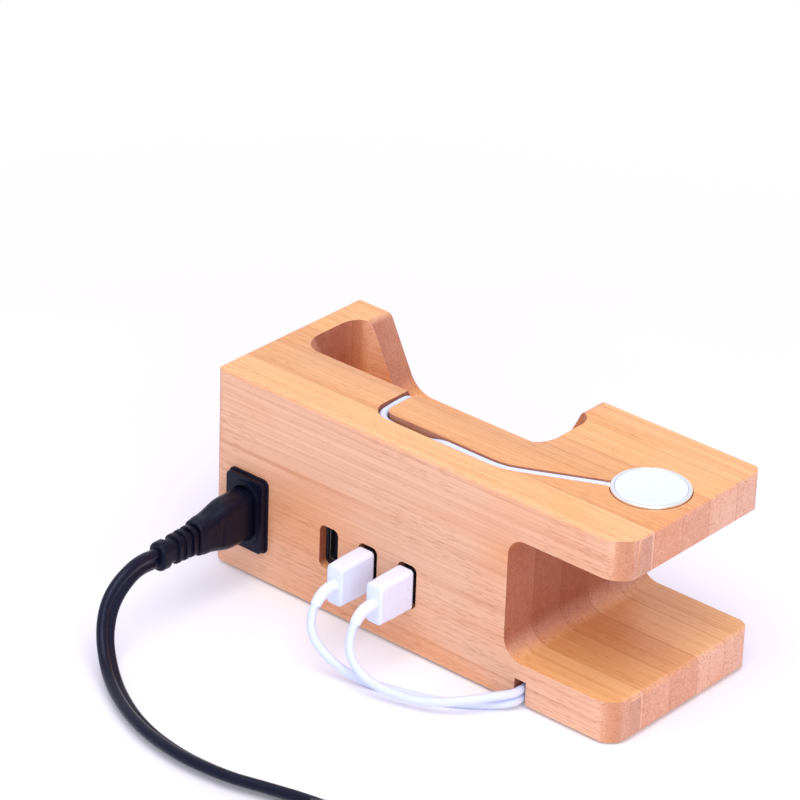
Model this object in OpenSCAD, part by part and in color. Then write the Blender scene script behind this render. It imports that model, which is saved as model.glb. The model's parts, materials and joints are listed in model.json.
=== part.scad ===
// A desk charging stand cut from one laminated bamboo block: a leaning phone pocket, an arm that
// holds a charging puck over a foot, three charging ports and a mains inlet in the back, the power
// supply behind a screwed cover, and the leads that are dressed into its grooves.
// The lip of the phone pocket faces -Y, the ports face +Y, the arm points to -X.
// Places named here are in the block's own frame: X and Y from its middle, Z from its underside.

/* [Block] */
// Length of the block, arm and foot included
block_len = 184; // [180:1:196]
// Depth of the block from lip to port face
block_depth = 76; // [74:1:84]
// Height of the block without its feet
block_h = 78; // [76:1:86]
// Radius of the upright edge at the arm's back corner
arm_back_r = 10; // [6:0.5:14]
// Radius of the upright edge at the arm's front corner
arm_front_r = 6; // [3:0.5:10]
// Radius of the upright edges at the inlet end
post_edge_r = 3; // [1:0.5:5]
// Radius of the lower edge at the inlet end
heel_r = 4.5; // [2:0.5:5]
// Width of the flat that eases the long edges
edge_ease = 0.8; // [0.4:0.1:1.2]

/* [Arm and foot] */
// How far the arm and the foot reach past the body
arm_reach = 49.3; // [44:0.5:52]
// Thickness of the arm
arm_t = 15; // [12:0.5:18]
// Thickness of the foot
foot_t = 16; // [14:0.5:20]
// Inner radius under the arm
gap_top_r = 7; // [3:0.5:12]
// Inner radius over the foot
gap_foot_r = 8; // [3:0.5:12]

/* [Phone pocket] */
// Wood between the pocket and the inlet end
post_w = 9; // [6:0.5:12]
// Width of the pocket
pocket_w = 110.4; // [100:0.5:111]
// Wood between the pocket's back edge and the port face, at the top
shelf_d = 33.5; // [31:0.5:36]
// Thickness of the front lip
lip_t = 10.5; // [7:0.5:12]
// Depth of the pocket
pocket_depth = 33; // [28:0.5:34]
// Lean of the phone and of the pocket's back wall, in degrees
lean = 30; // [24:1:33]
// Radius of the pocket's upright corners
pocket_r = 9; // [5:0.5:12]
// Height of the lip left in front of the phone, over the pocket's floor
lip_rise = 5; // [2:0.5:11]
// Inset of the lip's cut from the pocket's ends, at the top
lip_inset = 6; // [4:0.5:9]
// Slope of the cut's sides from upright, in degrees
lip_slope = 27; // [15:1:35]
// Radius at the foot of the cut's sides
lip_foot_r = 12; // [6:0.5:14]
// Radius at the top of the cut's sides
lip_brow_r = 4; // [2:0.5:6]

/* [Lead groove and puck] */
// Diameter of the two charging leads
lead_d = 3.2; // [2.8:0.1:3.3]
// Width of the groove in the top
groove_w = 3.8; // [3.7:0.1:4.6]
// Depth of the groove beside the pocket
groove_deep = 5.6; // [5.6:0.1:7]
// Depth of the groove on its way to the puck
groove_shallow = 3.4; // [3.4:0.1:4.6]
// Middle of the groove's long run, from the port face
groove_back = 14.4; // [14.2:0.1:14.6]
// Middle of the groove where it leaves the pocket, from the inlet end
mouth_in = 62; // [61.8:0.1:62.2]
// Diameter of the charging puck
puck_d = 28; // [26:0.5:30]
// Height of the puck
puck_h = 7.8; // [6:0.1:9]
// How far the puck stands over the arm
puck_proud = 1; // [0.4:0.1:2]
// Puck centre from the arm's end
puck_in = 18.8; // [17:0.1:22]
// Puck centre, behind the block's middle
puck_y = 0.8; // [-2:0.1:3]
// Gap round the puck in its recess
puck_gap = 0.25; // [0.1:0.05:0.5]

/* [Ports] */
// Middle of the port nearest the arm, along the block
port_x = 1.2; // [0:0.1:3]
// Distance between two ports
port_pitch = 18.1; // [16.5:0.1:18.6]
// How far the ports' middle lies under the pocket's floor
port_drop = 19.1; // [17.5:0.1:20.5]
// Width of a port's slot in the wood
slot_w = 8.6; // [8.2:0.1:10]
// Height of a port's slot in the wood
slot_h = 17; // [16.4:0.1:18]
// Corner radius of the slot
slot_r = 2.4; // [1:0.1:3.5]
// Wood in front of the supply
port_wall = 3.5; // [2.5:0.1:4.5]
// Length of a charging plug outside the wood
usb_out = 17.5; // [15:0.5:20]

/* [Inlet] */
// Middle of the inlet from the inlet end
inlet_in = 16.7; // [16:0.1:18]
// How far the inlet's middle lies under the pocket's floor
inlet_drop = 18.2; // [17:0.1:20]
// Width of the inlet's flange
flange_w = 18.4; // [17:0.1:19]
// Height of the inlet's flange
flange_h = 29.8; // [28.5:0.1:32]
// How far the flange stands off the wood
flange_t = 3.6; // [3:0.1:4.4]
// Length of the inlet's body in the wood
inlet_depth = 19; // [18:0.5:21]

/* [Mains lead] */
// Width of the flat mains cord
cord_w = 7.6; // [6.6:0.1:8]
// Thickness of the flat mains cord
cord_t = 4; // [3.4:0.1:4.2]
// Gap between neighbouring turns of the coil
coil_gap = 0.6; // [0.5:0.1:1.2]
// Turns in each of the coil's two layers
coil_turns = 2.25; // [2.25:1:3.25]
// Radius of the coil's outermost turn
coil_r = 45.5; // [44:0.5:52]
// Length of the mains connector's body
grip_len = 28.2; // [24:0.2:32]

/* [Feet and cover] */
// How far the rubber feet stand out
pad_proud = 0.8; // [0.5:0.1:2]
// Diameter of the rubber feet
pad_d = 11; // [8:0.5:14]
// Thickness of the bottom cover
cover_t = 2.4; // [2:0.1:2.5]
// Gap round the cover in its rebate
cover_gap = 0.3; // [0.2:0.05:0.5]

/* [Hidden] */

$fn = 48;
over = 2;

// Colours
bamboo = [0.87, 0.66, 0.47];
black = [0.09, 0.09, 0.12];
white = [0.94, 0.94, 0.97];
steel = [0.75, 0.76, 0.78];
brass = [0.83, 0.68, 0.35];

// Block: the whole object's origin is under the middle of the block and its flange together
half_len = block_len / 2;
half_dep = block_depth / 2;
block_y = -flange_t / 2;
body_x = -half_len + arm_reach;

// Pocket
pocket_x1 = half_len - post_w;
pocket_x0 = pocket_x1 - pocket_w;
pocket_back = half_dep - shelf_d;
pocket_front = -half_dep + lip_t;
pocket_floor = block_h - pocket_depth;
lip_h = pocket_floor + lip_rise;
port_z = pocket_floor - port_drop;
inlet_z = pocket_floor - inlet_drop;
pocket_toe = pocket_back - pocket_depth * tan(lean);

// Groove: down the pocket's back wall, along the top and over the arm to the puck
mouth_x = half_len - mouth_in;
groove_y = half_dep - groove_back;
bend_r = 6.2;
step_x = body_x + 39.7;
turn_x = body_x + 15.7;
turn_r = 25;
puck_x = -half_len + puck_in;
turn_a = atan((groove_y - puck_y) / (turn_x - puck_x));
wall_slot = 5;
recess_r = puck_d / 2 + puck_gap;
puck_z = block_h + puck_proud - puck_h;
puck_face_t = 1.2;
puck_stub = 1.6;
puck_lead_z = block_h - lead_d / 2;

// Hollow for the supply, closed by the cover
ceiling_t = 7;
ceiling = pocket_floor - ceiling_t;
hollow_x0 = body_x + 12.7;
hollow_x1 = half_len - 12;
hollow_y0 = -half_dep + 10;
hollow_y1 = half_dep - 11;
bay_x0 = port_x - 10.7;
bay_x1 = half_len - 8;
bay_y = half_dep - port_wall;
hollow_r = 4;
bay_r = 2;
rebate = cover_t + 0.2;
cover_x0 = hollow_x0 - 8;
cover_x1 = half_len - 5;
cover_y0 = hollow_y0 - 6;
cover_y1 = bay_y + 1.4;
cover_r = 3;
screw_in = 3.5;
screw_x0 = cover_x0 + 4;
screw_x1 = cover_x1 - screw_in;
screw_at = [[screw_x0, cover_y0 + 3], [(screw_x0 + screw_x1) / 2, cover_y0 + 3], [screw_x1, cover_y0 + 3],
            [screw_x1, 10], [screw_x0, hollow_y1 + 4], [screw_x0 + 14, hollow_y1 + 4]];
screw_d = 2.6;
screw_head_d = 5;
screw_head_t = 1.4;
screw_len = 9;
screw_bite = 6;
pad_sink = 1.2;
pad_x0 = -half_len + 10;
pad_x1 = half_len - 16;
pad_at = [[pad_x0, 11 - half_dep], [pad_x0, half_dep - 12], [pad_x1, 18 - half_dep], [pad_x1, half_dep - 14]];

// Notch and channel for the leads, in the underside
notch_x = body_x - 8.1;
notch_w = 5;
notch_h = 9.6;
channel_y = 12;
channel_r = 10;

// Connector in the pocket's floor
phone_t = 7.4;
seat_x = mouth_x - 2.2;
seat_y = pocket_toe - phone_t / 2 / cos(lean);
boot_w = 7.8;
boot_t = 4.9;
boot_len = 13;
boot_proud = 1.6;
boot_gap = 0.25;
tip_w = 6.7;
tip_t = 1.5;
tip_len = 6.6;

// Ports, in their housing
ports = [for (i = [0:2]) port_x + i * port_pitch];
port_w = 5.7;
port_h = 13.1;
port_skin = 0.3;
port_len = 14;
port_set_back = 0.4;
case_wall = 1.6;
ear_l = 7;
inlet_x = half_len - inlet_in;
inlet_w = 13.6;
case_x0 = bay_x0 + 0.5;
case_x1 = inlet_x - inlet_w / 2 - 0.5 - ear_l;
case_y0 = half_dep - 30;
case_z0 = port_z - 11.9;
lid_t = 1.6;
board_t = 1.6;
board_z = port_z - port_h / 2 - board_t;
board_gap = 0.4;
case_r = 2.2;
ear_w = 10;
ear_t = 2.4;
ear_y = 17;
window_gap = 0.3;

// Charging plugs
usb_w = 7.4;
usb_h = 15.8;
usb_r = 1.5;
usb_shell_w = 4.5;
usb_shell_h = 12;
usb_shell_len = 12;
usb_gap = 0.15;
relief_d = 4.7;
relief_straight = 2.5;
relief_bend_r = 8;
relief_a = 53;
relief_tail = 1;

// Inlet and connector
inlet_h = 23.6;
inlet_gap = 0.15;
flange_r = 2.5;
flange_step = 1;
rim_w = 14;
rim_h = 25.5;
shroud_w = 11.2;
shroud_h = 21.6;
shroud_d = 3;
well_w = 8.8;
well_h = 15.2;
well_d = 14;
nose_gap = 0.3;
nose_len = 13.4;
pin_d = 2.4;
pin_pitch = 8.6;
pin_len = 9;
grip_w = 10.2;
grip_h = 19.8;
neck_w = 8.4;
neck_h = 12.9;
grip_sink = 2.6;
relief_len = 18.6;
rib_pitch = 3.6;
rib_t = 1.9;
collar_t = 4.2;
collar_w = 11;
connector_y = half_dep + flange_t - grip_sink;

// Routes of the leads and the cord on the desk, in the whole object's frame
relief_end = [0, half_dep + usb_out + relief_straight + relief_bend_r * sin(relief_a) + relief_tail * cos(relief_a),
              port_z - 0.3 - relief_bend_r * (1 - cos(relief_a)) - relief_tail * sin(relief_a)];
relief_way = [0, cos(relief_a), -sin(relief_a)];
watch_start = relief_end + [ports[0], block_y, pad_proud];
phone_start = relief_end + [ports[1], block_y, pad_proud];
watch_route = concat([watch_start, watch_start + 2 * relief_way],
    [[0.4, 66.4, 16], [-1.8, 67.4, 11.8], [-6.6, 67.6, 7.8], [-13.4, 66.4, 5.2], [-21, 64.3, 4],
     [-28.2, 61.9, 4], [-34.8, 58.6, 4.8], [-41.4, 52.6, 5.8], [-46.4, 46, 6.4], [-49.8, 40.8, 6.4],
     [notch_x, 37.8, 6.4], [notch_x, half_dep + block_y, 6.4]]);
phone_route = concat([phone_start, phone_start + 2 * relief_way],
    [[18, 66.4, 15.8], [14.6, 67.3, 11.4], [8.6, 66.7, 7], [1.6, 64.9, 3.6], [-6.8, 62.3, 1.7],
     [-17, 59.4, 1.6], [-24.2, 57.2, 1.6], [-30.7, 54.3, 1.6], [-37.6, 49.9, 1.6], [-44.4, 44.6, 1.8],
     [-49.6, 40.4, 2.7], [notch_x, 37.8, 3], [notch_x, half_dep + block_y, 3]]);
// Routes of the leads inside the block, in the block's frame: in by the channel, over to the slot
// or the seat in shares of the way, and up
slot_gap = 2.35;
channel_end = notch_x + 16.8;
function in_channel(z) =
    let (q = round_corner([notch_x, half_dep], [notch_x, channel_y], [channel_end, channel_y], channel_r, 3),
         rise = [0.6, 1.2, 1.8, 2])
    concat([[notch_x, half_dep, z], [notch_x, half_dep - 3, z]],
           [for (k = [0:3]) [q[k][0], q[k][1], z + rise[k]]], [[channel_end, channel_y, z + 2.1]],
           [[channel_end + 5, channel_y - 0.9, z + 2.3], [channel_end + 12, channel_y - 5.6, z + 2.5]]);
function on_the_way(a, b, shares) = [for (s = shares) [for (i = [0:2]) a[i] + s[i] * (b[i] - a[i])]];
function up_wall(z) = [mouth_x, pocket_toe + slot_gap + (z - pocket_floor) * tan(lean), z];
watch_inner = concat(
    in_channel(5.6),
    on_the_way([channel_end, channel_y, 7.7], [mouth_x, pocket_toe + slot_gap, pocket_floor - 9],
        [[0.313, 0.463, 0.081], [0.469, 0.744, 0.138],
         [0.656, 0.926, 0.2], [0.813, 1, 0.307], [0.938, 1, 0.491], [0.994, 1, 0.731], [1, 1, 1]]),
    [[mouth_x, pocket_toe + slot_gap - 0.1, pocket_floor - 1.5],
     up_wall(pocket_floor + 5), up_wall(pocket_floor + 13), up_wall(block_h - 10),
     [mouth_x, pocket_back - 1.3, block_h - 5.4], [mouth_x, pocket_back + 1.7, block_h - 2.4],
     [mouth_x, pocket_back + 6, block_h - 1.9]],
    let (q = round_corner([mouth_x, pocket_back], [mouth_x, groove_y], [step_x, groove_y], bend_r, 4),
         sunk = [2.3, 2.4, 2.5, 2.7, 3])
        [for (k = [0:4]) [q[k][0], q[k][1], block_h - sunk[k]]],
    on_the_way([step_x, groove_y, block_h], [mouth_x - bend_r, groove_y, block_h - 1],
        [[0.672, 0, 3.7], [0.336, 0, 3.2], [0.075, 0, 1.7], [-0.187, 0, 1.6]]),
    [for (q = round_corner([step_x, groove_y], [turn_x, groove_y], [puck_x, puck_y], turn_r, 2))
        [q[0], q[1], puck_lead_z]]);
boot_top = boot_proud / cos(lean);
boot_foot = [seat_x, seat_y, pocket_floor] + (boot_top - boot_len) * [0, sin(lean), cos(lean)];
phone_inner = concat(
    in_channel(2.2),
    on_the_way([channel_end, channel_y, 4.3], [seat_x, hollow_y0 + 2, boot_foot[2] - 7],
        [[0.324, 0.353, 0.021], [0.485, 0.568, 0.037],
         [0.647, 0.763, 0.112], [0.785, 0.9, 0.253], [0.903, 0.974, 0.461], [0.977, 0.995, 0.718], [1, 1, 1]]));
mains_route = [[75, 90, 28.1], [74.6, 94.8, 28], [74, 99.8, 26.8],
    [73.6, 104.6, 24.3], [72.9, 108.8, 20.8], [71.4, 112.4, 16.4], [68.7, 115.8, 11.5],
    [64.2, 119.4, 7.2], [57.4, 124, 4.2], [47.5, 130, 3.3], [35, 136, 3.2], [21, 140.2, 3.2],
    [5, 142, 3.2], [-12, 140.6, 3.2], [-27, 136.6, 3.2], [-40, 133.6, 3.3], [-52, 132.6, 3.6],
    [-64, 133.6, 4.1], [-76, 136.8, 4.6]];
// Turn of the flat cord about its own route, from standing on edge, in degrees
mains_tilt = [0, 0, 2, 6, 12, 20, 28, 36, 42, 48, 52, 54, 54, 54, 54, 54, 52, 46, 34, 20, 8, 0, 0];
lead_sides = 8;

// Coil: wound inwards in one layer and outwards in the next, on the tie that lies under it
tie_t = 0.8;
tie_w = 9;
tie_gap = 0.3;
tie_at = -60;
coil_x = -83;
coil_y = 187;
coil_from = -104;
coil_steps = 24;
climb = 0.5;
coil_pitch = cord_t + coil_gap;
coil_rise = cord_w + coil_gap;
coil_z = cord_w / 2 + tie_t;
coil_in_r = coil_r - coil_pitch * coil_turns;
coil_all = 2 * coil_turns + climb;

// Wall plug
plug_w = 17;
plug_h = 24.4;
plug_len = 27;
plug_shoulder = 12;
plug_relief = 16;
blade_len = 16;
blade_w = 6.4;
blade_t = 1.5;
blade_pitch = 12.7;

// Vectors, directions and frames along a list of points
function unit(v) = v / norm(v);
function squared(u, t) = unit(u - (u * t) * t);
function tangent(p, i) =
    i == 0 ? unit(p[1] - p[0]) :
    i == len(p) - 1 ? unit(p[i] - p[i - 1]) :
    unit(unit(p[i] - p[i - 1]) + unit(p[i + 1] - p[i]));
function carried(p, u0) =
    [for (i = 0, u = squared(u0, tangent(p, 0)); i < len(p);
          i = i + 1, u = i < len(p) ? squared(u, tangent(p, i)) : u) u];

// Rings of a round lead
function lead_rings(p, d) =
    let (side = carried(p, [1, 0.1, 0.05]))
    [for (i = [0:len(p) - 1]) let (u = side[i], v = cross(tangent(p, i), u))
        [for (j = [0:lead_sides - 1]) let (a = 360 / lead_sides * (j + 0.5))
            p[i] + d / 2 * (cos(a) * u + sin(a) * v)]];

// Section of the flat cord, wide axis first: two cores with a shallow valley between them
function cord_section(w, t) =
    let (r = t / 2, c = w / 2 - r)
    [[w / 2, 0], [c + r * cos(50), r * sin(50)], [c, r], [0, r * 0.72], [-c, r],
     [-c - r * cos(50), r * sin(50)], [-w / 2, 0], [-c - r * cos(50), -r * sin(50)], [-c, -r],
     [0, -r * 0.72], [c, -r], [c + r * cos(50), -r * sin(50)]];
function coil_section(w, t) =
    [[w / 2, 0], [w * 0.3, t / 2], [-w * 0.3, t / 2], [-w / 2, 0], [-w * 0.3, -t / 2], [w * 0.3, -t / 2]];
function flat_rings(p, tilt, section) =
    [for (i = [0:len(p) - 1])
        let (t = tangent(p, i), up = squared([0, 0, 1], t), side = cross(t, up),
             a = len(tilt) > 0 ? tilt[i] : 0, wide = cos(a) * up + sin(a) * side, thin = cross(t, wide))
        [for (q = section) p[i] + q[0] * wide + q[1] * thin]];

// Coil's own path: its point after s turns, and the whole path with a straight start and end
function ease(x) = x * x * (3 - 2 * x);
function coil_radius(s) =
    let (x = s - coil_turns)
    x < 0 ? coil_r - coil_pitch * s :
    x > climb ? coil_in_r + coil_pitch * (x - climb) :
    coil_in_r - 3.4 * coil_pitch * x * (1 - x / climb);
function coil_level(s) = coil_z + coil_rise * ease(min(max((s - coil_turns) / climb, 0), 1));
function coil_point(s) =
    let (a = coil_from - 360 * s, r = coil_radius(s))
    [coil_x + r * cos(a), coil_y + r * sin(a), coil_level(s)];
coil_turned = [for (k = [0:coil_all * coil_steps]) coil_point(k / coil_steps)];
coil_path = concat([coil_turned[0] - cord_w * tangent(coil_turned, 0)], coil_turned,
    [coil_turned[len(coil_turned) - 1] + cord_w * tangent(coil_turned, len(coil_turned) - 1)]);
coil_end = coil_path[len(coil_path) - 1];
coil_out = tangent(coil_path, len(coil_path) - 1);
coil_rings = flat_rings(coil_path, [], coil_section(cord_w, cord_t));

// Least distance between points on the tube's skin that lie more than half a turn apart
function skin(i) = [for (j = [0:5]) each
    [coil_rings[i][j], (coil_rings[i][j] + coil_rings[i][(j + 1) % 6]) / 2]];
coil_least_gap = min([for (i = [2:len(coil_rings) - 3]) for (k = [i + coil_steps - 2:i + coil_steps + 2])
    if (k < len(coil_rings) - 2) for (a = skin(i)) for (b = skin(k)) norm(a - b)]);
echo(coil_least_gap = coil_least_gap);

// Outline of a polygon with true round corners: r[i] rounds the corner p[i]
function corner_half(a, b, c) = acos(unit(a - b) * unit(c - b)) / 2;
function turns_left(a, b, c) = (b[0] - a[0]) * (c[1] - b[1]) - (b[1] - a[1]) * (c[0] - b[0]) > 0;
module corner_piece(a, b, c, r) {
    h = corner_half(a, b, c);
    mid = b + unit(unit(a - b) + unit(c - b)) * r / sin(h);
    difference() {
        polygon([b, b + unit(a - b) * r / tan(h), mid, b + unit(c - b) * r / tan(h)]);
        translate(mid)
            circle(r = r, $fn = 96);
    }
}
module outline(p, r) {
    m = len(p);
    difference() {
        union() {
            polygon(p);
            for (i = [0:m - 1])
                if (r[i] > 0 && !turns_left(p[(i + m - 1) % m], p[i], p[(i + 1) % m]))
                    corner_piece(p[(i + m - 1) % m], p[i], p[(i + 1) % m], r[i]);
        }
        for (i = [0:m - 1])
            if (r[i] > 0 && turns_left(p[(i + m - 1) % m], p[i], p[(i + 1) % m]))
                corner_piece(p[(i + m - 1) % m], p[i], p[(i + 1) % m], r[i]);
    }
}
module round_rect(w, h, r) {
    outline([[-w / 2, -h / 2], [w / 2, -h / 2], [w / 2, h / 2], [-w / 2, h / 2]], [r, r, r, r]);
}
module stadium(w, h) {
    square([w, h - w], center = true);
    for (s = [-1, 1])
        translate([0, s * (h - w) / 2])
            circle(d = w);
}

// Points of a corner at b rounded to r, from the side of a to the side of c
function round_corner(a, b, c, r, n = 8) =
    let (h = corner_half(a, b, c), u = unit(a - b), v = unit(c - b), mid = b + unit(u + v) * r / sin(h),
         s = b + u * r / tan(h) - mid, e = b + v * r / tan(h) - mid, turn = 180 - 2 * h)
    [for (k = [0:n]) mid + (s * sin((1 - k / n) * turn) + e * sin(k / n * turn)) / sin(turn)];

// Slot of width w from a over b to c, its middle line rounded to r at b
function left_of(a, b) = unit([a[1] - b[1], b[0] - a[0]]);
module bent_slot(a, b, c, w, r) {
    n1 = left_of(a, b) * w / 2;
    n2 = left_of(b, c) * w / 2;
    m = (n1 + n2) / (1 + n1 * n2 / (w * w / 4));
    s = turns_left(a, b, c) ? 1 : -1;
    polygon(concat([a - n1], round_corner(a - n1, b - m, c - n2, r + s * w / 2), [c - n2, c + n2],
                   round_corner(c + n2, b + m, a + n1, r - s * w / 2), [a + n1]));
}

// Placing: a shape drawn in X and Z, drawn up out of the plane Y = 0 towards +Y
module along_y(y0, y1) {
    translate([0, y1, 0])
        rotate([90, 0, 0])
            linear_extrude(y1 - y0)
                children();
}
module along_x(x0, x1) {
    translate([x0, 0, 0])
        rotate([90, 0, 90])
            linear_extrude(x1 - x0)
                children();
}
module in_block() {
    translate([0, block_y, pad_proud])
        children();
}

// A tube through rings of points, closed at both ends
module tube(rings) {
    n = len(rings);
    m = len(rings[0]);
    sides = [for (i = [0:n - 2]) for (j = [0:m - 1])
        let (a = i * m + j, b = i * m + (j + 1) % m) each [[a, b + m, b], [a, a + m, b + m]]];
    start = [for (j = [1:m - 2]) [0, j, j + 1]];
    finish = [for (j = [1:m - 2]) let (z = (n - 1) * m) [z, z + j + 1, z + j]];
    polyhedron(points = [for (ring = rings) each ring], faces = concat(sides, start, finish), convexity = 10);
}

// The block's outer form
module blank() {
    intersection() {
        along_y(-half_dep, half_dep)
            outline([[-half_len, 0], [half_len, 0], [half_len, block_h], [-half_len, block_h],
                     [-half_len, block_h - arm_t], [body_x, block_h - arm_t], [body_x, foot_t], [-half_len, foot_t]],
                    [2, heel_r, 1.2, 1.2, 1.2, gap_top_r, gap_foot_r, 2]);
        linear_extrude(block_h)
            outline([[-half_len, -half_dep], [half_len, -half_dep], [half_len, half_dep], [-half_len, half_dep]],
                    [arm_front_r, post_edge_r, post_edge_r, arm_back_r]);
    }
}
module eased_edges() {
    for (s = [-1, 1])
        for (z = [0, block_h])
            translate([0, s * half_dep, z])
                rotate([45, 0, 0])
                    cube([block_len + over, edge_ease * sqrt(2), edge_ease * sqrt(2)], center = true);
}

// Pocket: upright at the lip and the ends, leaning at the back
module pocket() {
    mid_x = (pocket_x0 + pocket_x1) / 2;
    intersection() {
        linear_extrude(block_h + over)
            outline([[pocket_x0, pocket_front], [pocket_x1, pocket_front],
                     [pocket_x1, half_dep], [pocket_x0, half_dep]], [pocket_r, pocket_r, 0, 0]);
        translate([mid_x, pocket_toe, pocket_floor])
            rotate([-lean, 0, 0])
                translate([0, 0, -block_h])
                    linear_extrude(3 * block_h)
                        outline([[-pocket_w / 2, -block_depth], [pocket_w / 2, -block_depth],
                                 [pocket_w / 2, 0], [-pocket_w / 2, 0]], [0, 0, pocket_r, pocket_r]);
        translate([pocket_x0 - over, -half_dep, pocket_floor])
            cube([pocket_w + 2 * over, block_depth, block_h]);
    }
}
module lip_cut() {
    mid_x = (pocket_x0 + pocket_x1) / 2;
    brow = [pocket_x1 - lip_inset, block_h];
    foot = brow - (block_h - lip_h) * [tan(lip_slope), 1];
    up = concat(round_corner([mid_x, lip_h], foot, brow, lip_foot_r),
                round_corner(foot, brow, [pocket_x1, block_h], lip_brow_r));
    last = up[len(up) - 1];
    out = last + 2 * (last - up[len(up) - 2]);
    side = concat(up, [out, [out[0], block_h + over]]);
    along_y(-half_dep - over, pocket_front + pocket_r)
        polygon(concat(side, [for (i = [len(side) - 1:-1:0]) [2 * mid_x - side[i][0], side[i][1]]]));
}

// Groove in the top, seen from above, in its two depths
module groove_near() {
    bent_slot([mouth_x, pocket_back - over], [mouth_x, groove_y], [step_x, groove_y], groove_w, bend_r);
}
module groove_far() {
    bent_slot([step_x + 1, groove_y], [turn_x, groove_y], [puck_x, puck_y], groove_w, turn_r);
}
module groove() {
    translate([0, 0, block_h - groove_deep])
        linear_extrude(groove_deep + over)
            groove_near();
    translate([0, 0, block_h - groove_shallow])
        linear_extrude(groove_shallow + over)
            groove_far();
    // Slot down the pocket's back wall and through its floor into the hollow
    along_x(mouth_x - groove_w / 2, mouth_x + groove_w / 2)
        polygon([[pocket_toe, ceiling - over], [pocket_toe + wall_slot, ceiling - over],
                 [pocket_toe + wall_slot, pocket_floor], [pocket_back + wall_slot, block_h],
                 [pocket_back, block_h + over], [pocket_toe, block_h]]);
}

// Hollow for the supply, its bay behind the ports, and the rebate for the cover
module hollow() {
    translate([0, 0, -over])
        linear_extrude(ceiling + over) {
            outline([[hollow_x0, hollow_y0], [hollow_x1, hollow_y0], [hollow_x1, hollow_y1], [hollow_x0, hollow_y1]],
                    [hollow_r, hollow_r, 0, hollow_r]);
            outline([[bay_x0, 0], [bay_x1, 0], [bay_x1, bay_y], [bay_x0, bay_y]], [0, 0, bay_r, bay_r]);
        }
    translate([0, 0, -over])
        linear_extrude(rebate + over)
            cover_outline(0);
}
module cover_outline(gap) {
    outline([[cover_x0 + gap, cover_y0 + gap], [cover_x1 - gap, cover_y0 + gap],
             [cover_x1 - gap, cover_y1 - gap], [cover_x0 + gap, cover_y1 - gap]],
            [cover_r, cover_r, cover_r, cover_r]);
}
module lead_channel() {
    translate([0, 0, -over])
        linear_extrude(notch_h + over)
            bent_slot([notch_x, half_dep + over], [notch_x, channel_y], [hollow_x0 + over, channel_y],
                      notch_w, channel_r);
}

// Shapes shared by a hole and what sits in it
module in_seat() {
    translate([seat_x, seat_y, pocket_floor])
        rotate([-lean, 0, 0])
            children();
}
module inlet_body(gap) {
    translate([inlet_x, inlet_z])
        round_rect(inlet_w + 2 * gap, inlet_h + 2 * gap, 1.5);
}
module screw(d, head_d, head_t, length) {
    cylinder(d = head_d, h = head_t);
    cylinder(d = d, h = length);
}

module wood_block() {
    color(bamboo)
        in_block()
            difference() {
                blank();
                eased_edges();
                pocket();
                lip_cut();
                groove();
                translate([puck_x, puck_y, puck_z])
                    cylinder(r = recess_r, h = puck_h + over, $fn = 96);
                hollow();
                lead_channel();
                in_seat()
                    translate([0, 0, -20])
                        linear_extrude(20 + over)
                            round_rect(boot_w + 2 * boot_gap, boot_t + 2 * boot_gap, boot_t / 2);
                for (x = ports)
                    along_y(bay_y - over, half_dep + over)
                        translate([x, port_z])
                            round_rect(slot_w, slot_h, slot_r);
                along_y(half_dep - inlet_depth - over, half_dep + over)
                    inlet_body(inlet_gap);
                for (p = screw_at)
                    translate([p[0], p[1], -over])
                        cylinder(d = screw_d, h = screw_len + over);
                for (p = pad_at)
                    translate([p[0], p[1], -over])
                        cylinder(d = pad_d, h = pad_sink + over);
                for (x = [case_x0 - ear_l / 2, case_x1 + ear_l / 2])
                    translate([x, ear_y, ceiling - over])
                        cylinder(d = screw_d, h = over + screw_bite);
            }
}

module bottom_cover() {
    color(black)
        in_block()
            translate([0, 0, rebate - cover_t])
                difference() {
                    linear_extrude(cover_t)
                        cover_outline(cover_gap);
                    for (p = screw_at)
                        translate([p[0], p[1], 0]) {
                            translate([0, 0, -over])
                                cylinder(d = screw_d + 0.4, h = cover_t + 2 * over);
                            translate([0, 0, -over])
                                cylinder(d = screw_head_d + 0.4, h = screw_head_t + over);
                        }
                    for (p = pad_at)
                        translate([p[0], p[1], -over])
                            cylinder(d = pad_d, h = pad_sink - rebate + cover_t + over);
                    // Slots that let the supply breathe
                    for (i = [0:6])
                        translate([8 + i * 7, 18, -over])
                            linear_extrude(cover_t + 2 * over)
                                stadium(2, 14);
                }
}
module cover_screws() {
    color(steel)
        in_block()
            for (p = screw_at)
                translate([p[0], p[1], rebate - cover_t])
                    difference() {
                        screw(screw_d, screw_head_d, screw_head_t, screw_len - rebate + cover_t);
                        for (a = [0, 90])
                            rotate(a)
                                cube([2.6, 0.6, 1], center = true);
                    }
}
module rubber_feet() {
    color(black)
        in_block()
            for (p = pad_at)
                translate([p[0], p[1], -pad_proud])
                    rotate_extrude()
                        polygon([[0, 0], [pad_d / 2 - 0.5, 0], [pad_d / 2, 0.5], [pad_d / 2, pad_sink + pad_proud],
                                 [0, pad_sink + pad_proud]]);
}

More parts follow.
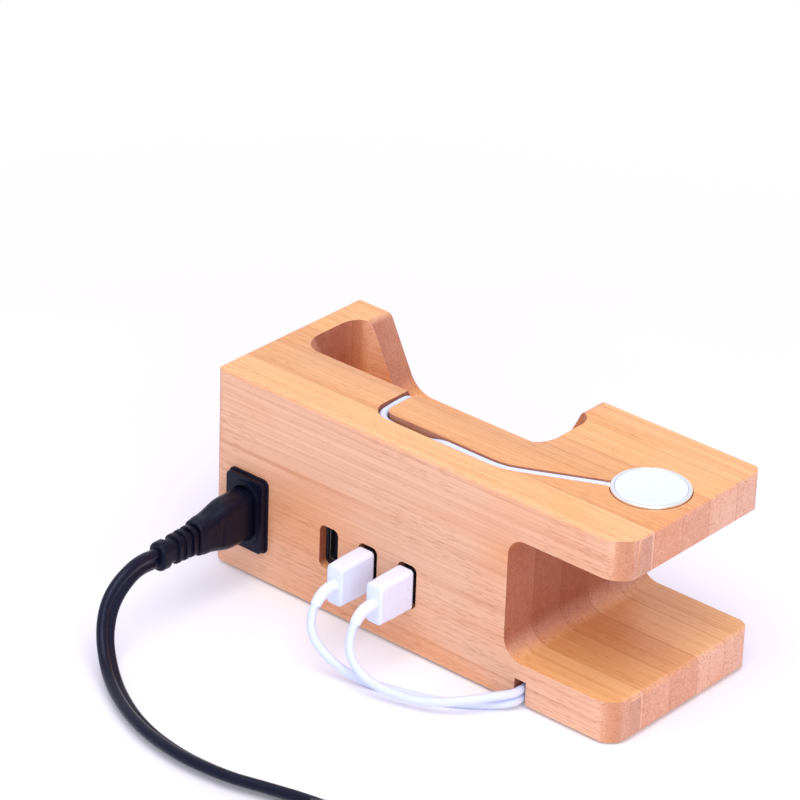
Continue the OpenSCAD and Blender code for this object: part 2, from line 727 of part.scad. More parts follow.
// Inlet: flange with a raised oval rim, an oval mouth and a figure-eight well with two pins
module well_outline(gap) {
    d = well_w - 2 * gap;
    for (s = [-1, 1])
        translate([0, s * (well_h - well_w) / 2])
            circle(d = d);
    square([d - 1.6, well_h - well_w], center = true);
}
module inlet_socket() {
    face = half_dep + flange_t;
    color(black)
        in_block()
            difference() {
                union() {
                    along_y(half_dep - inlet_depth, half_dep + 0.5)
                        inlet_body(0);
                    along_y(half_dep, half_dep + flange_step)
                        translate([inlet_x, inlet_z])
                            round_rect(flange_w, flange_h, flange_r);
                    along_y(half_dep + flange_step - 0.5, face - 0.6)
                        translate([inlet_x, inlet_z])
                            round_rect(flange_w - 1.2, flange_h - 1.2, flange_r - 0.6);
                    along_y(half_dep, face)
                        translate([inlet_x, inlet_z])
                            stadium(rim_w, rim_h);
                }
                along_y(face - shroud_d, face + over)
                    translate([inlet_x, inlet_z])
                        stadium(shroud_w, shroud_h);
                along_y(face - shroud_d - well_d, face)
                    translate([inlet_x, inlet_z])
                        well_outline(0);
                for (s = [-1, 1])
                    translate([inlet_x, half_dep - inlet_depth - over, inlet_z + s * pin_pitch / 2])
                        rotate([-90, 0, 0])
                            cylinder(d = pin_d, h = inlet_depth);
            }
}
module inlet_pins() {
    root = half_dep - inlet_depth;
    floor_y = half_dep + flange_t - shroud_d - well_d;
    color(brass)
        in_block()
            for (s = [-1, 1])
                translate([inlet_x, root - 3, inlet_z + s * pin_pitch / 2])
                    rotate([-90, 0, 0]) {
                        cylinder(d = pin_d, h = floor_y + pin_len - root + 3 - pin_d / 4);
                        translate([0, 0, floor_y + pin_len - root + 3 - pin_d / 4])
                            cylinder(d1 = pin_d, d2 = pin_d / 2, h = pin_d / 4);
                    }
}
module inlet_wires() {
    back = half_dep - inlet_depth - 3;
    in_block()
        for (s = [-1, 1])
            color(s > 0 ? [0.3, 0.5, 0.85] : [0.55, 0.35, 0.2])
                tube(lead_rings([[inlet_x, back, inlet_z + s * pin_pitch / 2],
                                 [inlet_x, back - 2, inlet_z + s * pin_pitch / 2],
                                 [inlet_x - 2.5, back - 3.6, inlet_z + s * 4],
                                 [inlet_x - 8, back - 3.8, inlet_z + s * 3.4],
                                 [case_x1 + 1, back - 3.8, inlet_z + s * 3],
                                 [case_x1 - case_wall - 2.4, back - 3.8, inlet_z + s * 2.6]], 1.8));
}

// Housing of the supply: open below, with windows for the ports and an ear at each end
module case_plan(inset) {
    r = max(case_r - inset, 0.5);
    outline([[case_x0 + inset, case_y0 + inset], [case_x1 - inset, case_y0 + inset],
             [case_x1 - inset, bay_y - inset], [case_x0 + inset, bay_y - inset]], [r, r, r, r]);
}
module module_case() {
    color(black)
        in_block()
            difference() {
                union() {
                    translate([0, 0, case_z0])
                        linear_extrude(ceiling - case_z0)
                            case_plan(0);
                    for (x = [case_x0 - ear_l, case_x1 - case_wall])
                        translate([x, ear_y - ear_w / 2, ceiling - ear_t])
                            cube([ear_l + case_wall, ear_w, ear_t]);
                }
                translate([0, 0, case_z0 - over])
                    linear_extrude(ceiling - case_z0 - case_wall + over)
                        case_plan(case_wall);
                for (x = ports)
                    along_y(bay_y - case_wall - over, bay_y + over)
                        translate([x, port_z])
                            square([port_w + 2 * window_gap, port_h + 2 * window_gap], center = true);
                // Way in for the two wires
                along_x(case_x1 - case_wall - over, case_x1 + over)
                    translate([half_dep - inlet_depth - 6.8, inlet_z])
                        square([3.4, 9], center = true);
                for (x = [case_x0 - ear_l / 2, case_x1 + ear_l / 2])
                    translate([x, ear_y, ceiling - ear_t - over])
                        cylinder(d = screw_d + 0.4, h = ear_t + 2 * over);
            }
}
module module_lid() {
    color(black)
        in_block()
            difference() {
                union() {
                    translate([0, 0, case_z0 - lid_t])
                        linear_extrude(lid_t)
                            case_plan(0);
                    // Posts that carry the board
                    for (x = [case_x0 + 6, case_x1 - 6])
                        for (y = [case_y0 + 5, bay_y - 5])
                            translate([x, y, case_z0 - lid_t])
                                cylinder(d = 4, h = board_z - case_z0 + lid_t);
                }
                for (i = [0:6])
                    translate([8 + i * 7, 18, case_z0 - lid_t - over])
                        linear_extrude(lid_t + 2 * over)
                            stadium(2, 12);
            }
}
module case_screws() {
    color(steel)
        in_block()
            for (x = [case_x0 - ear_l / 2, case_x1 + ear_l / 2])
                translate([x, ear_y, ceiling - ear_t - screw_head_t])
                    screw(screw_d, screw_head_d, screw_head_t, ear_t + screw_bite);
}

// Board and what stands on it, between the ports and the housing's front wall
board_x0 = case_x0 + case_wall + board_gap;
board_x1 = case_x1 - case_wall - board_gap;
board_y0 = case_y0 + case_wall + board_gap;
board_y1 = bay_y - case_wall - board_gap;
board_top = board_z + board_t;
board_l = board_x1 - board_x0;
parts_y = board_y0 + 3.6;
module power_board() {
    color([0.12, 0.4, 0.22])
        in_block()
            translate([board_x0, board_y0, board_z])
                cube([board_x1 - board_x0, board_y1 - board_y0, board_t]);
}
module on_board(x, y) {
    in_block()
        translate([x, y, board_top])
            children();
}
module transformer() {
    on_board(board_x0 + 0.22 * board_l, parts_y + 1.6) {
        color([0.2, 0.19, 0.18])
            difference() {
                translate([-8, -4.4, 0])
                    cube([16, 8.8, 14]);
                for (s = [-1, 1])
                    translate([s * 5, 0, 3])
                        cube([3.4, 20, 8], center = false);
            }
        color([0.9, 0.8, 0.25])
            translate([-4, -4.4, 3])
                cube([8, 8.8, 8]);
    }
}
module capacitors() {
    for (c = [[0.455, 7, 12], [0.585, 7, 12], [0.727, 5, 9]])
        on_board(board_x0 + c[0] * board_l, parts_y)
            color([0.15, 0.2, 0.45])
                difference() {
                    cylinder(d = c[1], h = c[2]);
                    for (a = [0, 90])
                        translate([0, 0, c[2]])
                            rotate(a)
                                cube([c[1] * 0.6, 0.5, 0.4], center = true);
                }
}
module filter_choke() {
    on_board(board_x0 + 0.855 * board_l, parts_y + 0.2)
        color([0.7, 0.35, 0.15])
            translate([0, 0, 3.4])
                rotate([90, 0, 0])
                    rotate_extrude()
                        translate([2.2, 0])
                            circle(d = 2.3);
}
module mains_fuse() {
    on_board(board_x1 - 3.2, parts_y + 7)
        color([0.8, 0.82, 0.85])
            translate([0, -5, 1.5])
                rotate([-90, 0, 0])
                    cylinder(d = 3, h = 10);
}
module heat_sink() {
    on_board(board_x0 + 1.4, parts_y)
        color([0.7, 0.72, 0.74]) {
            translate([-1.2, -3, 0])
                cube([1.2, 8, 13]);
            for (i = [0:3])
                translate([0, -3 + i * 2.3, 0])
                    cube([2.4, 1, 13]);
        }
}
module usb_port_shells() {
    color(steel)
        in_block()
            for (x = ports)
                difference() {
                    along_y(bay_y - port_set_back - port_len, bay_y - port_set_back)
                        translate([x, port_z])
                            square([port_w, port_h], center = true);
                    along_y(bay_y - port_set_back - port_len + 1, bay_y + over)
                        translate([x, port_z])
                            square([port_w - 2 * port_skin, port_h - 2 * port_skin], center = true);
                }
}
module usb_port_tongues() {
    color(black)
        in_block()
            for (x = ports)
                along_y(bay_y - port_set_back - port_len + 1, bay_y - port_set_back - 1)
                    translate([x + usb_gap, port_z - usb_shell_h / 2 + 0.8])
                        square([1.5, usb_shell_h - 1.6]);
}

// Charging plug: rounded body, steel shell with the contacts' block, and a relief that bends down
plug_face = half_dep + 0.4;
module usb_at(x) {
    in_block()
        translate([x, 0, port_z - 0.3])
            children();
}
module usb_plug(x) {
    color(white)
        usb_at(x) {
            difference() {
                along_y(plug_face, half_dep + usb_out)
                    round_rect(usb_w, usb_h, usb_r);
                for (s = [-1, 1])
                    translate([s * (usb_w / 2 + 0.2), half_dep + usb_out - 8, 0])
                        for (i = [-2:2])
                            translate([-0.4, i * 1.6, -usb_h / 2 + 3])
                                cube([0.8, 0.7, usb_h - 6]);
            }
            along_y(plug_face - usb_shell_len - 0.2, plug_face + 1)
                translate([-usb_shell_w / 2 + 0.3, -usb_shell_h / 2 + 0.3 + 0.3])
                    square([1.8, usb_shell_h - 1.2]);
        }
}
module usb_shell(x) {
    color(steel)
        usb_at(x)
            translate([0, 0, 0.3])
                difference() {
                    along_y(plug_face - usb_shell_len, plug_face)
                        square([usb_shell_w, usb_shell_h], center = true);
                    along_y(plug_face - usb_shell_len - over, plug_face + over)
                        square([usb_shell_w - 0.6, usb_shell_h - 0.6], center = true);
                }
}
module usb_relief(x) {
    y0 = half_dep + usb_out;
    color(white)
        usb_at(x) {
            translate([0, y0, 0])
                rotate([-90, 0, 0])
                    cylinder(d = relief_d, h = relief_straight);
            translate([0, y0 + relief_straight, -relief_bend_r])
                rotate([90, 0, 90])
                    rotate([0, 0, 90 - relief_a])
                        rotate_extrude(angle = relief_a)
                            translate([relief_bend_r, 0])
                                circle(d = relief_d);
            translate([0, y0 + relief_straight + relief_bend_r * sin(relief_a), -relief_bend_r * (1 - cos(relief_a))])
                rotate([-90 - relief_a, 0, 0])
                    cylinder(d = relief_d, h = relief_tail);
        }
}
module lead(route) {
    color(white)
        tube(lead_rings(route, lead_d));
}

module watch_usb_plug() {
    usb_plug(ports[0]);
}
module watch_usb_shell() {
    usb_shell(ports[0]);
}
module watch_usb_relief() {
    usb_relief(ports[0]);
}
module watch_lead() {
    lead(watch_route);
}
puck_way = [cos(turn_a), sin(turn_a), 0];
puck_entry = [puck_x, puck_y, puck_lead_z] + (puck_d / 2 + puck_stub) * puck_way;
module watch_lead_inner() {
    in_block()
        lead(concat(watch_inner, [puck_entry]));
}
module charging_puck() {
    color(steel)
        in_block()
            difference() {
                union() {
                    translate([puck_x, puck_y, puck_z])
                        rotate_extrude($fn = 96)
                            polygon([[0, 0], [puck_d / 2 - 0.8, 0], [puck_d / 2, 0.8], [puck_d / 2, puck_h - 0.6],
                                     [puck_d / 2 - 0.6, puck_h], [0, puck_h]]);
                    translate([puck_x, puck_y, puck_lead_z])
                        rotate([0, 90, turn_a])
                            translate([0, 0, puck_d / 2 - 1])
                                cylinder(d = lead_d, h = puck_stub + 1);
                }
                translate([puck_x, puck_y, puck_z + puck_h - puck_face_t])
                    cylinder(d = puck_d - 3, h = puck_face_t + over, $fn = 96);
            }
}
module puck_face() {
    color(white)
        in_block()
            translate([puck_x, puck_y, puck_z + puck_h - puck_face_t])
                rotate_extrude($fn = 96)
                    polygon([[0, 0], [puck_d / 2 - 1.5, 0], [puck_d / 2 - 1.5, puck_face_t], [puck_d / 2 - 4, puck_face_t - 0.25],
                             [0, puck_face_t - 0.5]]);
}

module phone_usb_plug() {
    usb_plug(ports[1]);
}
module phone_usb_shell() {
    usb_shell(ports[1]);
}
module phone_usb_relief() {
    usb_relief(ports[1]);
}
module phone_lead() {
    lead(phone_route);
}
module phone_lead_inner() {
    in_block()
        lead(concat(phone_inner, [boot_foot - 3 * [0, sin(lean), cos(lean)], boot_foot]));
}
module phone_connector() {
    color(white)
        in_block()
            in_seat()
                translate([0, 0, boot_top - boot_len])
                    difference() {
                        linear_extrude(boot_len)
                            round_rect(boot_w, boot_t, boot_t / 2 - 0.1);
                        translate([0, 0, boot_len - 0.6])
                            linear_extrude(0.6 + over)
                                square([tip_w - 1, tip_t + 0.05], center = true);
                    }
}
module phone_connector_tip() {
    color(steel)
        in_block()
            in_seat()
                translate([0, 0, boot_top - 0.6])
                    intersection() {
                        linear_extrude(tip_len + 0.6)
                            square([tip_w - 1, tip_t], center = true);
                        rotate([90, 0, 0])
                            translate([0, 0, -tip_t])
                                linear_extrude(2 * tip_t)
                                    outline([[-tip_w / 2, 0], [tip_w / 2, 0], [tip_w / 2, tip_len + 0.6],
                                             [-tip_w / 2, tip_len + 0.6]], [0, 0, 1.5, 1.5]);
                    }
}

// Mains connector: it slides into the inlet's mouth and tapers to a ribbed relief
module slab(y, w, h, r) {
    translate([0, y, 0])
        rotate([90, 0, 0])
            linear_extrude(0.4)
                hull()
                    for (i = [-1, 1])
                        for (j = [-1, 1])
                            translate([i * (w / 2 - r), j * (h / 2 - r)])
                                circle(r = r, $fn = 24);
}
module mains_connector() {
    color(black)
        in_block()
            translate([inlet_x, connector_y, inlet_z])
                difference() {
                    union() {
                        hull() {
                            slab(0.4, grip_w, grip_h, 3.6);
                            slab(grip_len * 0.42, grip_w, grip_h - 0.6, 3.4);
                            slab(grip_len * 0.86, neck_w + 0.8, neck_h + 1.2, 3);
                            slab(grip_len, neck_w, neck_h, 2.8);
                        }
                        along_y(-nose_len, 1)
                            well_outline(nose_gap);
                    }
                    for (s = [-1, 1])
                        translate([0, -nose_len - over, s * pin_pitch / 2])
                            rotate([-90, 0, 0])
                                cylinder(d = pin_d + 0.4, h = nose_len + over - 0.4);
                    // Ribbed thumb panels
                    for (s = [-1, 1])
                        for (i = [0:4])
                            translate([s * grip_w / 2, grip_len * 0.3 + i * 1.8, 0])
                                cube([0.5, 0.8, 8], center = true);
                }
}
module connector_relief() {
    start = grip_len;
    color(black)
        in_block()
            translate([inlet_x, connector_y + start, inlet_z]) {
                along_y(0, relief_len - 1)
                    round_rect(cord_t + 2.2, cord_w + 2, (cord_t + 2) / 2);
                for (i = [0:2])
                    along_y(1.4 + i * rib_pitch, 1.4 + i * rib_pitch + rib_t)
                        round_rect(neck_w - 0.4 - i * 0.2, neck_h - 0.8 - i * 0.6, (neck_w - 1.6) / 2);
                along_y(relief_len - collar_t, relief_len)
                    round_rect(cord_t + 3.6, collar_w, (cord_t + 3) / 2);
            }
}
mains_start = [inlet_x, connector_y + grip_len + relief_len + block_y, inlet_z + pad_proud];
mains_path = concat([mains_start, mains_start + [0, 3, 0]], mains_route,
    [coil_path[0] - 3 * tangent(coil_path, 0), coil_path[0]]);
module mains_cord() {
    color(black)
        tube(flat_rings(mains_path, mains_tilt, cord_section(cord_w, cord_t)));
}
module mains_coil() {
    color(black)
        tube(coil_rings);
}
module coil_tie() {
    // Radii of the turns that pass under the strap, from the inmost to the outmost
    turned = (coil_from - tie_at) / 360;
    passed = [for (k = [-1:coil_all + 1]) if (k + turned > 0 && k + turned < coil_all) coil_radius(k + turned)];
    r0 = min(passed) - cord_t / 2 - tie_gap - 0.4;
    r1 = max(passed) + cord_t / 2 + tie_gap;
    top = coil_z + coil_rise + cord_w / 2 + tie_gap;
    color([0.2, 0.2, 0.22])
        translate([coil_x, coil_y, 0])
            rotate(tie_at)
                difference() {
                    translate([r0 - tie_t, -tie_w / 2, 0])
                        cube([r1 - r0 + 2 * tie_t, tie_w, top + tie_t]);
                    translate([r0, -tie_w / 2 - over, tie_t - tie_gap])
                        cube([r1 - r0, tie_w + 2 * over, top - tie_t + tie_gap]);
                }
}

// Wall plug, standing on its edge where the coil's upper layer ends
module at_coil_end() {
    translate(coil_end)
        rotate([0, 0, atan2(coil_out[1], coil_out[0]) - 90])
            children();
}
module wall_plug() {
    color(black)
        at_coil_end() {
            for (i = [0:3])
                along_y(2 + i * rib_pitch, 2 + i * rib_pitch + rib_t)
                    round_rect(cord_t + 2.4, cord_w + 0.8, 2);
            along_y(0, plug_relief + 1)
                round_rect(cord_t + 1.2, cord_w + 0.4, 2);
            hull() {
                slab(plug_relief + 0.4, cord_t + 3, cord_w + 5, 2);
                slab(plug_relief + plug_shoulder, plug_w, plug_h, 4);
                slab(plug_relief + plug_len, plug_w - 1, plug_h - 1, 4);
            }
        }
}
module plug_blades() {
    color(brass)
        at_coil_end()
            for (s = [-1, 1])
                along_y(plug_relief + plug_len, plug_relief + plug_len + blade_len)
                    translate([0, s * blade_pitch / 2])
                        square([blade_w, blade_t], center = true);
}

wood_block();
bottom_cover();
cover_screws();
rubber_feet();
inlet_socket();
inlet_pins();
inlet_wires();
module_case();
module_lid();
case_screws();
power_board();
transformer();
capacitors();
filter_choke();
mains_fuse();
heat_sink();
usb_port_shells();
usb_port_tongues();
mains_connector();
connector_relief();
mains_cord();
mains_coil();
coil_tie();
wall_plug();
plug_blades();
watch_usb_plug();
watch_usb_shell();
watch_usb_relief();
watch_lead();
watch_lead_inner();
charging_puck();
puck_face();
phone_usb_plug();
phone_usb_shell();
phone_usb_relief();
phone_lead();
phone_lead_inner();
phone_connector();
phone_connector_tip();
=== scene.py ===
"""Looks of a desk charging stand: a laminated bamboo block with its ports, puck and leads.

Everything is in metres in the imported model's frame: the lip of the phone pocket faces -Y, the
ports face +Y, the arm points to -X, and the desk is the plane Z = 0. The sizes of leads, plugs and
turned pieces are written in millimetres, and their meshes are brought to metres with MM.
"""
import json
import logging
import math
from dataclasses import dataclass, field
from enum import Enum
from typing import Any, Sequence

import bmesh
import bpy
import numpy as np
from mathutils import Matrix, Vector

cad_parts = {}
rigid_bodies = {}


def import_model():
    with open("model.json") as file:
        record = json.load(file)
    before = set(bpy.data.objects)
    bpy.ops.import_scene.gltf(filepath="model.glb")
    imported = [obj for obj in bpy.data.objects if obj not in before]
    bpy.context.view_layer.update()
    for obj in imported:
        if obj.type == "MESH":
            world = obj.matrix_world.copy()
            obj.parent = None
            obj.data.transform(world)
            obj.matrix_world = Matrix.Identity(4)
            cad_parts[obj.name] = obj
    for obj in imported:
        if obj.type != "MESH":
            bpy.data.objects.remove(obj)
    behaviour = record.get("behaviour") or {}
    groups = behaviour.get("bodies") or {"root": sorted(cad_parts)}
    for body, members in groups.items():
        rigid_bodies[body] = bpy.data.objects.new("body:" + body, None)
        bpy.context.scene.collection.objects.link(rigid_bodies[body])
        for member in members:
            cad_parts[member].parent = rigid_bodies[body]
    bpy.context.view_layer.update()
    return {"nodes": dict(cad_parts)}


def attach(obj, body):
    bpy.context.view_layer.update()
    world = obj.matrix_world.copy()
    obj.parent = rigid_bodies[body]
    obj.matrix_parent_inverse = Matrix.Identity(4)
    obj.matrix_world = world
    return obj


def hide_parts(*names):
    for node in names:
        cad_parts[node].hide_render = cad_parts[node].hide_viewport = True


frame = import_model()

LOG = logging.getLogger("charging_stand")
# Metres in a millimetre, the least radius or side of a ring, and the block's shift in the frame
MM = 0.001
HAIR = 1e-6
BLOCK_SHIFT = np.array([0.0, -1.8, 0.8])
X_AXIS, Y_AXIS, Z_AXIS = np.eye(3)
Array = np.ndarray
Place = tuple[float, float, float]
Colour = tuple[float, float, float, float]
Socket = bpy.types.NodeSocket
Node = bpy.types.Node
Obj = bpy.types.Object


# ---------------------------------------------------------------- numbers and curves

def srgb(red: float, green: float, blue: float) -> Colour:
    """Linear colour of a display colour: c = ((v + 0.055) / 1.055) ^ 2.4 above the toe.

    Args:
        red, green, blue: the display colour from 0 to 255.

    Returns:
        The linear colour with an alpha of 1.
    """
    value = np.array([red, green, blue], float) / 255
    linear = np.where(value <= 0.04045, value / 12.92, ((value + 0.055) / 1.055) ** 2.4)
    return (*(float(v) for v in linear), 1.0)


def unit(vectors: Array) -> Array:
    """Vectors divided by their lengths, along the last axis."""
    return vectors / np.linalg.norm(vectors, axis=-1, keepdims=True)


def tangents(path: Array) -> Array:
    """Unit directions along a path: central differences, one-sided at the ends."""
    return unit(np.gradient(path, axis=0))


def share_of(value: Array, width: float) -> Array:
    """Part of a width that a value makes up, kept between 0 and 1."""
    return np.clip(value / width, 0, 1)


def eased(share: Array) -> Array:
    """Shares from 0 to 1 with level ends: k^2 (3 - 2 k)."""
    return share * share * (3 - 2 * share)


def smooth_through(points: Array, spacing: float, parts: int = 24, least: int = 8) -> Array:
    """Curve through points, resampled evenly.

    Each stretch from p1 to p2 is the cubic p(t) = (2 p1 + (p2 - p0) t
    + (2 p0 - 5 p1 + 4 p2 - p3) t^2 + (3 p1 - p0 - 3 p2 + p3) t^3) / 2, and the whole is then
    sampled at equal lengths.

    Args:
        points: control points, one a row, with any number of columns after the first three.
        spacing: distance between two samples, by the first three columns.
        parts: parts of each stretch before the even sampling.
        least: least number of parts after it.

    Returns:
        The samples, with the same columns.
    """
    ends = np.vstack([2 * points[0] - points[1], points, 2 * points[-1] - points[-2]])
    p0, p1, p2, p3 = (ends[i:len(ends) - 3 + i, None, :] for i in range(4))
    t = np.linspace(0, 1, parts, endpoint=False)[None, :, None]
    curve = 0.5 * (2 * p1 + (p2 - p0) * t + (2 * p0 - 5 * p1 + 4 * p2 - p3) * t ** 2
                   + (3 * p1 - p0 - 3 * p2 + p3) * t ** 3)
    dense = np.vstack([curve.reshape(-1, points.shape[1]), points[-1:]])
    steps = np.linalg.norm(np.diff(dense[:, :3], axis=0), axis=1)
    along = np.concatenate([[0], np.cumsum(steps)])
    at = np.linspace(0, along[-1], max(int(round(along[-1] / spacing)), least) + 1)
    return np.stack([np.interp(at, along, column) for column in dense.T], axis=1)


def carried_frames(path: Array) -> tuple[Array, Array]:
    """Two unit axes across a path, carried without twist: u = u - (u . t) t at each step.

    Args:
        path: points of the path, which doesn't begin along (0.2, 0.3, 1).

    Returns:
        The two axes at each point.
    """
    along = tangents(path)
    axis = unit(np.cross(along[0], [0.2, 0.3, 1.0]))
    rows = []
    for direction in along:
        axis = unit(axis - (axis @ direction) * direction)
        rows.append(axis)
    first = np.array(rows)
    return first, np.cross(along, first)


def swept(outline: Array, path: Array, wide: Array, thin: Array) -> Array:
    """Rings of an outline carried along a path: ring = path + x wide + y thin.

    Args:
        outline: points of the outline as (x, y), or one outline for each point of the path.
        path: points of the path.
        wide, thin: the outline's axes, for the whole path or at each of its points.

    Returns:
        The rings, as rows of points.
    """
    shape = np.broadcast_to(outline, (len(path), *outline.shape[-2:]))
    wide, thin = (np.broadcast_to(axis, path.shape)[:, None] for axis in (wide, thin))
    return path[:, None] + shape[..., :1] * wide + shape[..., 1:] * thin


def circle(radius: float, count: int) -> Array:
    """Outline r (cos a, sin a) at equal angles."""
    angle = np.linspace(0, 2 * np.pi, count, endpoint=False)
    return radius * np.stack([np.cos(angle), np.sin(angle)], axis=1)


def rounded(width: float, height: float, radius: float, steps: int = 7) -> Array:
    """Outline of a rectangle whose corners are quarter circles.

    Args:
        width, height: the rectangle's sides.
        radius: the corners' radius.
        steps: parts of each quarter circle.

    Returns:
        The outline's points.
    """
    radius = min(radius, width / 2 - HAIR, height / 2 - HAIR)
    angle = np.linspace(0, np.pi / 2, steps + 1)[None] + np.arange(4)[:, None] * np.pi / 2
    corner = [width / 2 - radius, height / 2 - radius]
    centre = np.array([[1, 1], [-1, 1], [-1, -1], [1, -1]]) * corner
    arcs = centre[:, None] + radius * np.stack([np.cos(angle), np.sin(angle)], axis=2)
    return arcs.reshape(-1, 2)


# ---------------------------------------------------------------- meshes

def linked(name: str, data: bpy.types.ID) -> Obj:
    """Makes an object of a mesh, a lamp or a camera, and puts it in the scene.

    Args:
        name: the object's name.
        data: the mesh, lamp or camera.

    Returns:
        The object, at the origin.
    """
    made = bpy.data.objects.new(name, data)
    bpy.context.scene.collection.objects.link(made)
    return made


def shade_smooth(mesh: bpy.types.Mesh, crease: float) -> None:
    """Shades a mesh smooth, but for the edges above an angle in degrees."""
    mesh.shade_smooth()
    mesh.set_sharp_from_angle(angle=math.radians(crease))


def new_piece(name: str, points: Array, faces: list[list[int]], crease: float) -> Obj:
    """Makes an object of points and faces, with its faces turned outwards.

    Args:
        name: the piece's name.
        points: vertices in metres.
        faces: vertex numbers of each face.
        crease: angle in degrees above which an edge stays sharp.

    Returns:
        The object, at the origin.
    """
    mesh = bpy.data.meshes.new(name)
    mesh.from_pydata(points.tolist(), [], faces)
    work = bmesh.new()
    work.from_mesh(mesh)
    bmesh.ops.remove_doubles(work, verts=work.verts, dist=1e-8)
    bmesh.ops.recalc_face_normals(work, faces=work.faces)
    work.to_mesh(mesh)
    work.free()
    shade_smooth(mesh, crease)
    return linked(name, mesh)


def ring_faces(rings: int, count: int, first: int) -> list[list[int]]:
    """Faces of a closed tube: quads between neighbouring rings, and a face at each end.

    Args:
        rings: number of rings.
        count: points of a ring.
        first: number of the first point.

    Returns:
        The faces.
    """
    row, column = np.meshgrid(np.arange(rings - 1), np.arange(count), indexing="ij")
    a, b = row * count + column, row * count + (column + 1) % count
    quads = np.stack([a, b, b + count, a + count], axis=-1).reshape(-1, 4) + first
    last = first + (rings - 1) * count
    return quads.tolist() + [list(range(first, first + count)), list(range(last, last + count))]


def tube(name: str, *parts: Array, crease: float) -> Obj:
    """One piece of one or more closed tubes, each given by its rings.

    Args:
        name: the piece's name.
        parts: rings of each tube, as (rings, points, 3).
        crease: angle in degrees above which an edge stays sharp.

    Returns:
        The object.
    """
    points, faces, first = [], [], 0
    for rings in parts:
        points.append(rings.reshape(-1, 3))
        faces += ring_faces(rings.shape[0], rings.shape[1], first)
        first += rings.shape[0] * rings.shape[1]
    return new_piece(name, np.vstack(points), faces, crease)


def turned(profile: Array, centre: Place, count: int = 96) -> Array:
    """Rings of a profile turned about an upright axis: (r cos a, r sin a, z).

    Args:
        profile: (radius, height) pairs, from the axis round to the axis.
        centre: the axis' place, with the height from which the profile's is counted.
        count: points of a ring.

    Returns:
        The rings.
    """
    flat = np.maximum(profile[:, 0], HAIR)[:, None, None] * circle(1.0, count)
    high = np.broadcast_to(profile[:, None, 1:], (len(profile), count, 1))
    return np.concatenate([flat, high], axis=2) + np.array(centre)


def refined(node: str, name: str, ease: float, segments: int = 2, least: float = 35) -> Obj:
    """A copy of a CAD node, merged and with its flat faces whole again, whose edges are eased.

    Args:
        node: the CAD node that the piece stands for.
        name: the piece's name.
        ease: width of the eased edges in millimetres.
        segments: parts of each eased edge.
        least: angle in degrees above which an edge is eased.

    Returns:
        The object.
    """
    work = bmesh.new()
    work.from_mesh(frame["nodes"][node].data)
    bmesh.ops.remove_doubles(work, verts=work.verts, dist=2e-7)
    bmesh.ops.dissolve_limit(work, angle_limit=math.radians(0.6), verts=work.verts,
                             edges=work.edges)
    bmesh.ops.dissolve_degenerate(work, edges=work.edges, dist=1e-6)
    mesh = bpy.data.meshes.new(name)
    work.to_mesh(mesh)
    work.free()
    mesh.materials.clear()
    shade_smooth(mesh, least)
    made = linked(name, mesh)
    bevel = made.modifiers.new("eased_edges", "BEVEL")
    bevel.width, bevel.segments = ease * MM, segments
    bevel.limit_method, bevel.angle_limit = "ANGLE", math.radians(least)
    bevel.harden_normals, bevel.miter_outer = True, "MITER_ARC"
    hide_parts(node)
    return made


# ---------------------------------------------------------------- shader graphs

